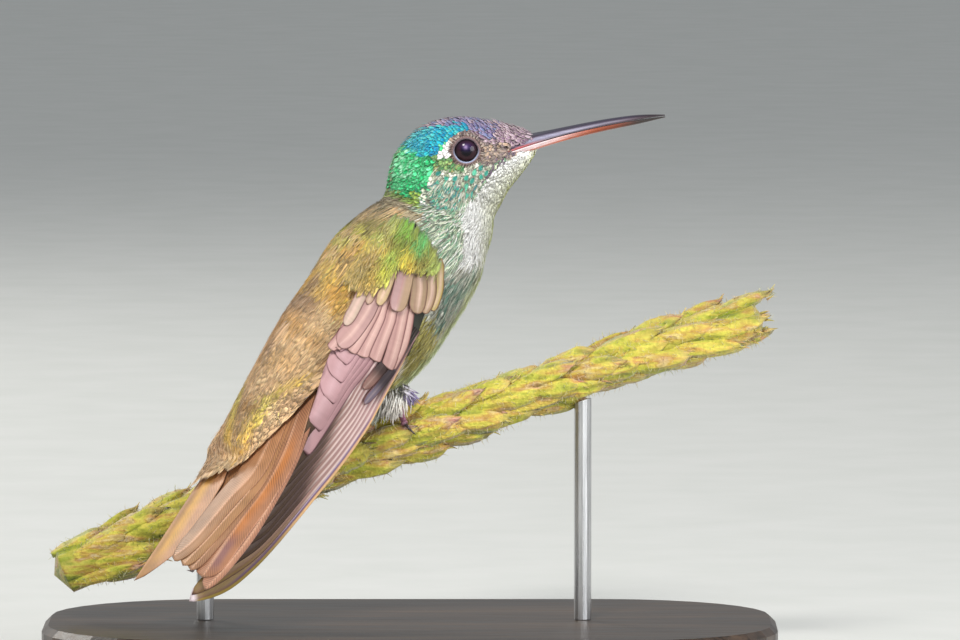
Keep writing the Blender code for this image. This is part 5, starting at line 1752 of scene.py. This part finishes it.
def buildFoot(word):
    x, hip = footPlan[word]
    stand = 0.5 + 0.3 + 0.3
    ankle = perchPoint(x, 0.0, perchRadius(x) + stand)
    hipPoint = trunkPoint(*hip)
    parts = []
    purple, dark = linear((166, 112, 134)), linear((44, 30, 38))
    shin = ankle + (hipPoint - ankle) * 0.6
    t = np.linspace(0, 1, 30)
    path = ankle + (shin - ankle) * t[:, None]
    parts.append(tubeAlong(path, 0.62 - 0.1 * t, 14, np.tile(purple, (30, 1)),
                           0.05 * np.abs(np.sin(9 * t * math.pi))))
    for spread, way in ((-1.5, -1), (0.0, -1), (1.5, -1), (0.0, 1)):
        t = np.linspace(0, 1, 64)
        claw = smooth(0.70, 0.74, t)
        hook = np.clip((t - 0.72) / 0.28, 0, 1)
        turn = way * math.radians(93) * t
        place = x + spread * np.minimum(1, 2 * t) + 0.9 * hook * (way > 0)
        radius = perchRadius(x) + stand - 0.1 + 0.32 * np.sin(np.pi * hook)
        path = perchPoint(place, turn, radius)
        thick = np.where(t < 0.72, 0.5 - 0.08 * t, 0.2 * (1 - hook) ** 0.7 + 0.03)
        scutes = 0.05 * np.abs(np.sin(t * 11 * math.pi)) * (1 - claw)
        pads = 0.05 * np.sin(t * 6 * math.pi) * (1 - claw)
        tint = mix(np.tile(purple, (64, 1)), np.tile(linear((112, 64, 82)), (64, 1)),
                   np.abs(np.sin(t * 11 * math.pi)) * 0.4)
        tint = mix(tint, np.tile(dark, (64, 1)), claw)
        parts.append(tubeAlong(path, thick, 12, tint, scutes + pads))
    foot = joinParts(f"foot_{word}_scales", parts, billMaterial)
    return finishPiece(foot, "horn", f"foot_{word}")


# tufts round the top of each leg: middle forward and up, spread, way, how many, length and tints
puffPlan = {
    "tuft": ((-2.4, 38.3), (1.4, 0.9), (-0.12, -1.0), 460, 3.3, (252, 248, 240), (244, 236, 226)),
    "veil": ((-0.9, 38.6), (0.6, 0.5), (0.6, -0.75), 130, 2.3, (236, 230, 240), (146, 130, 178)),
    "fringe": ((-5.4, 36.9), (2.2, 1.2), (-0.4, -0.9), 300, 2.8, (214, 210, 196), (190, 194, 178)),
}


def buildThigh(word, side):
    x, hip = footPlan[word]
    ankle = perchPoint(x, 0.0, perchRadius(x) + 1.1)
    top = trunkPoint(*hip)
    t = np.linspace(0, 1, 24)[:, None]
    path = top + (ankle - top) * t * 0.6
    core = tubeAlong(path, 1.7 - 1.0 * t[:, 0], 20, np.tile(linear((224, 214, 202)), (24, 1)))
    thigh = joinParts(f"thigh_{word}", [core], skinMaterial)
    finishPiece(thigh, "plumage", f"leg_{word}")
    starts, ways, lengths, tints, tips = [], [], [], [], []
    for (cx, cz), (wide, high), (wx, wz), count, length, tint, tip in puffPlan.values():
        at = rng.normal(0, 0.5, (count, 3)) * (wide, 1.6, high) + (cx, top[1] - 1.4 * side, cz)
        if word == "left":
            at[:, 0] += x + 2.0
        starts.append(at)
        ways.append(unit(np.array((wx, -0.15 * side, wz)) + rng.normal(0, 0.2, (count, 3))))
        lengths.append(length * rng.uniform(0.6, 1.1, count))
        shade = rng.uniform(0.75, 1.0, (count, 1))
        tints.append(linear(tint) * shade)
        tips.append(linear(tip) * shade)
    start = np.vstack(starts)
    bake = np.stack([rng.uniform(0.3, 0.7, len(start)), rng.uniform(0.1, 0.3, len(start))], -1)
    loose(f"leg_puff_{word}", start, np.vstack(ways), np.array((0.0, -side, 0.0)), np.concatenate(lengths),
          0.15, np.vstack(tints), np.vstack(tips), fall=0.02, bake=bake)


for word, side in (("right", 1), ("left", -1)):
    buildThigh(word, side)
    buildFoot(word)
print("bill and feet done")


# the perch, a cut length of flower spike
spikePlan = {"bracts": 104, "length": 9.5, "width": 3.0, "height": 1.3, "turnStep": 2.39996, "sink": 0.55,
             "hairs": 10500, "hairLength": 1.15}


def buildStemMaterial():
    material, tree, shader, fine = tintMaterial(
        "flowerSpike", 2200.0, 3.0, 1.3, 0.35, **{"Roughness": 0.6, "Sheen Weight": 0.3})
    shaded = shader.inputs["Base Color"].links[0].from_socket
    # yellow-green, straw, orange-brown and pink patches over the lie of the bracts
    broad = objectNoise(tree, 1.0, 5.0, (170.0, 820.0, 820.0), (0, 0.35, 0))
    patch = rampNode(tree, broad, [(0.3, (0.09, 0.15, 0.006)), (0.4, (0.3, 0.36, 0.015)),
                                   (0.5, (0.66, 0.56, 0.08)), (0.58, (0.5, 0.22, 0.05)),
                                   (0.64, (0.7, 0.5, 0.3)), (0.72, (0.3, 0.08, 0.08))])
    tree.links.new(mixColour(tree, 0.55, shaded, patch), shader.inputs["Base Color"])
    addBump(tree, shader, mathNode(tree, "MULTIPLY_ADD", broad, 1.6, fine), 0.9, 0.00025)
    return material


stemMaterial = buildStemMaterial()


def bractShape(seed):
    # a lumpy, ribbed calyx lying along +X with its back towards +Z, ending in a ragged dry mouth
    lumpRng = np.random.default_rng(seed)
    parts = []
    length, width, height = spikePlan["length"], spikePlan["width"], spikePlan["height"]
    rows, sides = 15, 14
    t = np.linspace(0, 1, rows)
    turn = np.linspace(0, 2 * math.pi, sides, endpoint=False)
    fat = (0.35 + 0.65 * np.sin(np.pi * np.clip(t * 0.8 + 0.1, 0, 1))) * smooth(1.15, 0.8, t)
    ribs = 1 + 0.17 * np.cos(5 * turn)[None, :] * smooth(0, 0.3, t)[:, None]
    lumps = ribs + 0.09 * np.sin(7 * t[:, None] + lumpRng.uniform(0, 6, sides)[None, :])
    lumps = lumps + lumpRng.normal(0, 0.03, (rows, sides))
    x = (t * length)[:, None] + 0.25 * lumpRng.normal(0, 1, sides)[None, :] * smooth(0.8, 1, t)[:, None] * 2
    y = fat[:, None] * width / 2 * np.sin(turn)[None, :] * lumps
    y = y + lumpRng.uniform(-0.5, 0.5) * (t**2)[:, None]
    z = fat[:, None] * height * np.cos(turn)[None, :] * np.where(np.cos(turn) > 0, 1.0, 0.5)[None, :] * lumps
    z = z + (lumpRng.uniform(0.1, 0.9) * t**2)[:, None] - 0.1
    verts = np.stack([x, y, z], -1).reshape(-1, 3)
    quads = gridFaces(rows, sides, wrap=True)
    # painted shade: paler yellow on the back of each calyx and darker green underneath, against the stem
    light, green = np.array(linear((214, 206, 76))), np.array(linear((120, 140, 14)))
    top = np.cos(turn)[None, :, None] * 0.5 + 0.5
    tint = green * (1 - top) + light * top
    tint = mix(tint * np.ones((rows, 1, 1)), linear((150, 96, 40)), smooth(1.0, 0.86, lumps) * 0.7)
    tip = (linear((182, 110, 120)), linear((196, 150, 80)), linear((150, 84, 96)))[seed % 3]
    tint = mix(tint, tip, np.repeat(smooth(0.72, 0.95, t)[:, None], sides, 1) * 0.85)
    parts.append((verts, [quads, *capFaces(rows, sides)], tint.reshape(-1, 3)))
    # dry teeth round the mouth
    for k in range(5):
        way = np.array((1.0, lumpRng.normal(0, 0.35), lumpRng.uniform(-0.1, 0.5)))
        start = np.array((length * 0.93, lumpRng.uniform(-0.6, 0.6), lumpRng.uniform(0.0, 0.8)))
        reach = np.linspace(0, lumpRng.uniform(0.8, 1.8), 5)[:, None]
        path = start + unit(way) * reach + np.array((0, 0, 0.18)) * reach**2
        shade = linear((170, 104, 110)) if k % 2 else linear((206, 176, 110))
        parts.append(tubeAlong(path, 0.22 * (1 - 0.8 * np.linspace(0, 1, 5)), 4, np.tile(shade, (5, 1))))
    return parts


def hairShape():
    turn = np.array([0, 2.1, 4.2])
    verts = []
    for radius, height in ((0.05, 0), (0.035, 0.6)):
        verts.append(np.stack([np.cos(turn) * radius, np.sin(turn) * radius, np.full(3, height)], 1))
    verts = np.vstack([*verts, [[0.12, 0, spikePlan["hairLength"]]]])
    quads = gridFaces(2, 3, wrap=True)
    tip = np.array([[3, 4, 6], [4, 5, 6], [5, 3, 6], [2, 1, 0]])
    return [(verts, [quads, tip], np.tile(linear((236, 230, 210)), (7, 1)))]


def spikeTree(bracts, hair, material):
    tree = bpy.data.node_groups.new("bractsAndHairs", "GeometryNodeTree")
    for label, kind, value in (("Bracts", "NodeSocketInt", 10), ("Half Length", "NodeSocketFloat", 0.045),
                               ("Turn Step", "NodeSocketFloat", 2.4), ("Hair Density", "NodeSocketFloat", 1e6),
                               ("Seed", "NodeSocketInt", 3)):
        tree.interface.new_socket(label, in_out="INPUT", socket_type=kind).default_value = value
    tree.interface.new_socket("Geometry", in_out="OUTPUT", socket_type="NodeSocketGeometry")
    start, end = addNode(tree, "NodeGroupInput"), addNode(tree, "NodeGroupOutput")
    plan = perchPlan
    points = addNode(tree, "GeometryNodeMeshLine", {"Count": start.outputs["Bracts"]})
    index = addNode(tree, "GeometryNodeInputIndex").outputs[0]
    jitter = addNode(tree, "FunctionNodeRandomValue", {2: -0.5, 3: 0.5, "Seed": start.outputs["Seed"]})
    step = mathNode(tree, "ADD", index, mathNode(tree, "MULTIPLY", jitter.outputs[1], 0.8))
    share = mathNode(tree, "DIVIDE", step, mathNode(tree, "SUBTRACT", start.outputs["Bracts"], 1.0))
    x = mathNode(tree, "MULTIPLY", mathNode(tree, "SUBTRACT", mathNode(tree, "MULTIPLY", share, 2.0), 1.0),
                 start.outputs["Half Length"])
    x = mathNode(tree, "SUBTRACT", x, 0.0035)
    squared = mathNode(tree, "MULTIPLY", x, x)
    z = mathNode(tree, "MULTIPLY_ADD", x, plan["slope"], plan["height"] * mm)
    z = mathNode(tree, "MULTIPLY_ADD", squared, plan["bend"] / mm, z)
    slope = mathNode(tree, "MULTIPLY_ADD", x, 2 * plan["bend"] / mm, plan["slope"])
    centre = addNode(tree, "ShaderNodeCombineXYZ", {0: x, 2: z})
    axis = addNode(tree, "ShaderNodeVectorMath",
                   {0: addNode(tree, "ShaderNodeCombineXYZ", {0: 1.0, 2: slope}).outputs[0]},
                   operation="NORMALIZE")
    upward = addNode(tree, "ShaderNodeVectorMath", {0: (0, -1, 0), 1: axis.outputs[0]},
                     operation="CROSS_PRODUCT")
    turn = mathNode(tree, "MULTIPLY", index, start.outputs["Turn Step"])
    turn = mathNode(tree, "ADD", turn, mathNode(tree, "MULTIPLY", jitter.outputs[1], 0.35))
    partUp = scaled(tree, upward.outputs[0], mathNode(tree, "COSINE", turn))
    partSide = scaled(tree, (0, -1, 0), mathNode(tree, "SINE", turn))
    outward = addNode(tree, "ShaderNodeVectorMath", {0: partUp, 1: partSide}, operation="ADD")
    left, right = plan["radii"]
    radius = mathNode(tree, "MULTIPLY_ADD", x, (right - left) / (2 * plan["half"]),
                      ((left + right) / 2 - 0.5 - spikePlan["sink"]) * mm)
    offset = scaled(tree, outward.outputs[0], radius)
    place = addNode(tree, "ShaderNodeVectorMath", {0: centre.outputs[0], 1: offset}, operation="ADD")
    placed = addNode(tree, "GeometryNodeSetPosition", {"Geometry": points.outputs[0],
                                                       "Position": place.outputs[0]})
    turned = addNode(tree, "FunctionNodeAxesToRotation", {"Primary Axis": axis.outputs[0],
                                                         "Secondary Axis": outward.outputs[0]},
                     primary_axis="X", secondary_axis="Z")
    shapes = addNode(tree, "GeometryNodeGeometryToInstance")
    for one in bracts:
        shape = addNode(tree, "GeometryNodeObjectInfo", {"Object": one})
        tree.links.new(shape.outputs["Geometry"], shapes.inputs[0])
    size = addNode(tree, "FunctionNodeRandomValue", {0: (0.8, 0.8, 0.8), 1: (1.15, 1.2, 1.25), "Seed": 5},
                   data_type="FLOAT_VECTOR")
    sway = addNode(tree, "FunctionNodeRandomValue", {0: (-0.25, -0.1, -0.16), 1: (0.25, 0.06, 0.16),
                                                     "Seed": 8},
                   data_type="FLOAT_VECTOR")
    swayed = addNode(tree, "FunctionNodeEulerToRotation", {0: sway.outputs[0]})
    turned = addNode(tree, "FunctionNodeRotateRotation", {"Rotation": turned.outputs[0],
                                                          "Rotate By": swayed.outputs[0]},
                     rotation_space="LOCAL")
    which = addNode(tree, "FunctionNodeRandomValue", {4: 0, 5: len(bracts) - 1, "Seed": 13}, data_type="INT")
    laid = addNode(tree, "GeometryNodeInstanceOnPoints", {
        "Points": placed.outputs[0], "Instance": shapes.outputs[0], "Rotation": turned.outputs[0],
        "Scale": size.outputs[0], "Pick Instance": True, "Instance Index": which.outputs[2]})
    solid = addNode(tree, "GeometryNodeRealizeInstances", {"Geometry": laid.outputs[0]})
    spots = addNode(tree, "GeometryNodeDistributePointsOnFaces", {
        "Mesh": solid.outputs[0], "Density": start.outputs["Hair Density"], "Seed": start.outputs["Seed"]})
    lean = addNode(tree, "FunctionNodeRandomValue", {0: (-0.9, -0.9, -0.9), 1: (0.9, 0.9, 0.9), "Seed": 9},
                   data_type="FLOAT_VECTOR")
    aim = addNode(tree, "ShaderNodeVectorMath", {0: spots.outputs["Normal"], 1: lean.outputs[0]},
                  operation="ADD")
    aimed = addNode(tree, "FunctionNodeAlignRotationToVector", {"Vector": aim.outputs[0]}, axis="Z")
    hairShapeNode = addNode(tree, "GeometryNodeObjectInfo", {"Object": hair})
    hairSize = addNode(tree, "FunctionNodeRandomValue", {2: 0.4, 3: 1.0, "Seed": 11})
    hairs = addNode(tree, "GeometryNodeInstanceOnPoints", {
        "Points": spots.outputs[0], "Instance": hairShapeNode.outputs["Geometry"],
        "Rotation": aimed.outputs[0],
        "Scale": hairSize.outputs[1]})
    both = addNode(tree, "GeometryNodeJoinGeometry")
    tree.links.new(hairs.outputs[0], both.inputs[0])
    tree.links.new(solid.outputs[0], both.inputs[0])
    real = addNode(tree, "GeometryNodeRealizeInstances", {"Geometry": both.outputs[0]})
    painted = addNode(tree, "GeometryNodeSetMaterial", {"Geometry": real.outputs[0], "Material": material})
    tree.links.new(painted.outputs[0], end.inputs[0])
    return tree


def applyNodes(name, tree, values, material):
    # evaluate a Geometry Nodes tree on an empty mesh and keep the plain result
    host = bpy.data.objects.new(name + "_host", bpy.data.meshes.new(name + "_host"))
    bpy.context.scene.collection.objects.link(host)
    modifier = host.modifiers.new("nodes", "NODES")
    modifier.node_group = tree
    for item in tree.interface.items_tree:
        if item.in_out == "INPUT" and item.name in values:
            modifier[item.identifier] = values[item.name]
    bpy.context.view_layer.update()
    graph = bpy.context.evaluated_depsgraph_get()
    mesh = bpy.data.meshes.new_from_object(host.evaluated_get(graph))
    bpy.data.objects.remove(host)
    mesh.name = name
    obj = bpy.data.objects.new(name, mesh)
    bpy.context.scene.collection.objects.link(obj)
    if not mesh.materials:
        mesh.materials.append(material)
    return obj


def buildPerch():
    rings, sides = 260, 48
    x = np.linspace(-perchPlan["half"], perchPlan["half"], rings)[:, None] * np.ones((1, sides))
    turn = np.linspace(0, 2 * math.pi, sides, endpoint=False)[None, :] * np.ones((rings, 1))
    ribs = 0.12 * np.cos(7 * turn + x * 0.25) + 0.06 * np.cos(13 * turn - x * 0.4)
    verts = perchPoint(x, turn, perchRadius(x) - 0.45 + ribs).reshape(-1, 3)
    quads = gridFaces(rings, sides, wrap=True)
    # painted light: paler on top and darker green underneath
    low = (0.5 - 0.5 * np.cos(turn))[..., None]
    tint = np.array(linear((150, 150, 30))) * (1 - low) + np.array(linear((92, 112, 16))) * low
    tint = mix(tint, linear((96, 70, 30)), smooth(0.0, -0.14, ribs) * 0.7)
    tint = withAlpha(tint).reshape(-1, 4)
    core = meshFromArrays("perch_stem", verts, [quads, *capFaces(rings, sides)], stemMaterial, tint)
    cleanUp(core)
    finishPiece(core, "stem", "perch")
    parts = []
    for end in (-1, 1):  # pale pith and a darker rind on each cut end
        centre, ahead = perchAxis(end * perchPlan["half"])
        path = centre + ahead * end * np.array([-0.4, 0.04, 0.1])[:, None]
        size = perchRadius(end * perchPlan["half"]) - 0.55
        for share, shade, out in ((1.0, (120, 110, 40), 0.0), (0.84, (208, 206, 150), 0.03),
                                  (0.3, (176, 150, 96), 0.05)):
            radii = size * share * np.array([1.0, 1.0, 0.97])
            parts.append(tubeAlong(path + ahead * end * out, radii, 40, np.tile(linear(shade), (3, 1))))
    finishPiece(joinParts("perch_ends", parts, stemMaterial), "stem")
    bracts = [joinParts(f"bractShape{k}", bractShape(k), stemMaterial) for k in range(6)]
    hair = joinParts("hairShape", hairShape(), stemMaterial)
    tree = spikeTree(bracts, hair, stemMaterial)
    area = sum(p.area for p in bracts[0].data.polygons) * spikePlan["bracts"]
    values = {"Bracts": spikePlan["bracts"], "Half Length": (perchPlan["half"] - 2.5) * mm,
              "Turn Step": spikePlan["turnStep"], "Hair Density": spikePlan["hairs"] / area, "Seed": 3}
    spike = applyNodes("perch_bracts", tree, values, stemMaterial)
    for bract in bracts:
        bpy.data.objects.remove(bract)
    bpy.data.objects.remove(hair)
    finishPiece(spike, "stem")
    print("perch:", triangleCount(spike), "triangles")
    return spike


buildPerch()


# the stand keeps its solids, with better materials
def buildBoardMaterial():
    material, tree, shader = newMaterial(
        "standBoard", **{"Roughness": 0.4, "Coat Weight": 0.15, "Coat Roughness": 0.3})
    grain = objectNoise(tree, 1.0, 6.0, (18, 260, 260), distortion=0.6)
    pores = objectNoise(tree, 1.0, 3.0, (120, 2600, 2600))
    tint = rampNode(tree, grain, [(0.3, (0.022, 0.013, 0.009)), (0.52, (0.055, 0.032, 0.02)),
                                  (0.75, (0.1, 0.06, 0.036))])
    dark = rampNode(tree, pores, [(0.36, (0.35, 0.35, 0.35)), (0.5, (1, 1, 1))])
    tree.links.new(mixColour(tree, 1.0, tint, dark, "MULTIPLY"), shader.inputs["Base Color"])
    tree.links.new(mathNode(tree, "MULTIPLY_ADD", pores, 0.3, 0.25), shader.inputs["Roughness"])
    addBump(tree, shader, pores, 0.2, 0.0001)
    return material


def buildSteelMaterial():
    material, tree, shader = newMaterial("brushedSteel", **{"Metallic": 1.0, "Roughness": 0.28})
    brush = objectNoise(tree, 1.0, 4.0, (4000, 4000, 120))
    tint = rampNode(tree, brush, [(0.3, (0.42, 0.42, 0.43)), (0.7, (0.66, 0.66, 0.67))])
    tree.links.new(tint, shader.inputs["Base Color"])
    tree.links.new(mathNode(tree, "MULTIPLY_ADD", brush, 0.2, 0.2), shader.inputs["Roughness"])
    addBump(tree, shader, brush, 0.1, 0.00002)
    return material


boardMaterial = buildBoardMaterial()
steelMaterial = buildSteelMaterial()
for node, material in (("stand_base", boardMaterial), ("stand_rod_left", steelMaterial),
                       ("stand_rod_right", steelMaterial)):
    for held in frame["nodes"][node].material_slots:
        held.material = material


# floor, light and camera
def buildStage():
    mesh = bpy.data.meshes.new("floor")
    size = 3.0
    mesh.from_pydata([(-size, -size, 0), (size, -size, 0), (size, size, 0), (-size, size, 0)], [],
                     [(0, 1, 2, 3)])
    floor = bpy.data.objects.new("floor", mesh)
    bpy.context.scene.collection.objects.link(floor)
    material, tree, shader = newMaterial("paleFloor", **{"Roughness": 0.8})
    tint = rampNode(tree, objectNoise(tree, 60.0, 4.0),
                    [(0.3, (0.70, 0.71, 0.69)), (0.7, (0.74, 0.745, 0.73))])
    tree.links.new(tint, shader.inputs["Base Color"])
    mesh.materials.append(material)


lightPlan = {
    "key": {"place": (-0.14, -0.7, 0.62), "size": 0.22, "power": 6.2, "colour": (1.0, 0.97, 0.92)},
    "fill": {"place": (0.65, -0.5, 0.2), "size": 0.5, "power": 5.0, "colour": (0.96, 0.98, 1.0)},
    "rim": {"place": (-0.45, 0.6, 0.55), "size": 0.3, "power": 3.0, "colour": (1.0, 0.98, 0.92)},
}
skyPlan = {"middle": (0.005, 0, 0.05), "colour": (0.86, 0.9, 0.92, 1), "strength": 0.42}


def addLight(name, place, size, power, colour):
    data = bpy.data.lights.new(name, "AREA")
    data.shape = "DISK"
    data.size = size
    data.energy = power
    data.color = colour
    lamp = bpy.data.objects.new(name, data)
    lamp.location = place
    lamp.rotation_euler = (Vector(skyPlan["middle"]) - Vector(place)).to_track_quat("-Z", "Y").to_euler()
    bpy.context.scene.collection.objects.link(lamp)


cameraPlan = {"distance": 1.5, "elevation": 4, "lens": 405, "sensor": 36, "aim": (9.72, 0.0, 47.8)}


def buildCamera():
    data = bpy.data.cameras.new("camera")
    data.lens = cameraPlan["lens"]
    data.sensor_width = cameraPlan["sensor"]
    data.clip_start, data.clip_end = 0.05, 20
    camera = bpy.data.objects.new("camera", data)
    aim = Vector(cameraPlan["aim"]) * mm
    tilt = math.radians(cameraPlan["elevation"])
    camera.location = aim + Vector((0, -math.cos(tilt), math.sin(tilt))) * cameraPlan["distance"]
    camera.rotation_euler = (aim - camera.location).to_track_quat("-Z", "Y").to_euler()
    bpy.context.scene.collection.objects.link(camera)
    bpy.context.scene.camera = camera


buildStage()
for name, plan in lightPlan.items():
    addLight(name, **plan)
world = bpy.data.worlds.new("studio")
world.use_nodes = True
sky = world.node_tree.nodes["Background"]
sky.inputs["Color"].default_value = skyPlan["colour"]
sky.inputs["Strength"].default_value = skyPlan["strength"]
bpy.context.scene.world = world
bpy.context.scene.view_settings.view_transform = "Standard"
buildCamera()

total = sum(triangleCount(o) for o in bpy.data.objects if o.type == "MESH" and not o.hide_render)
print("triangles in all:", total)
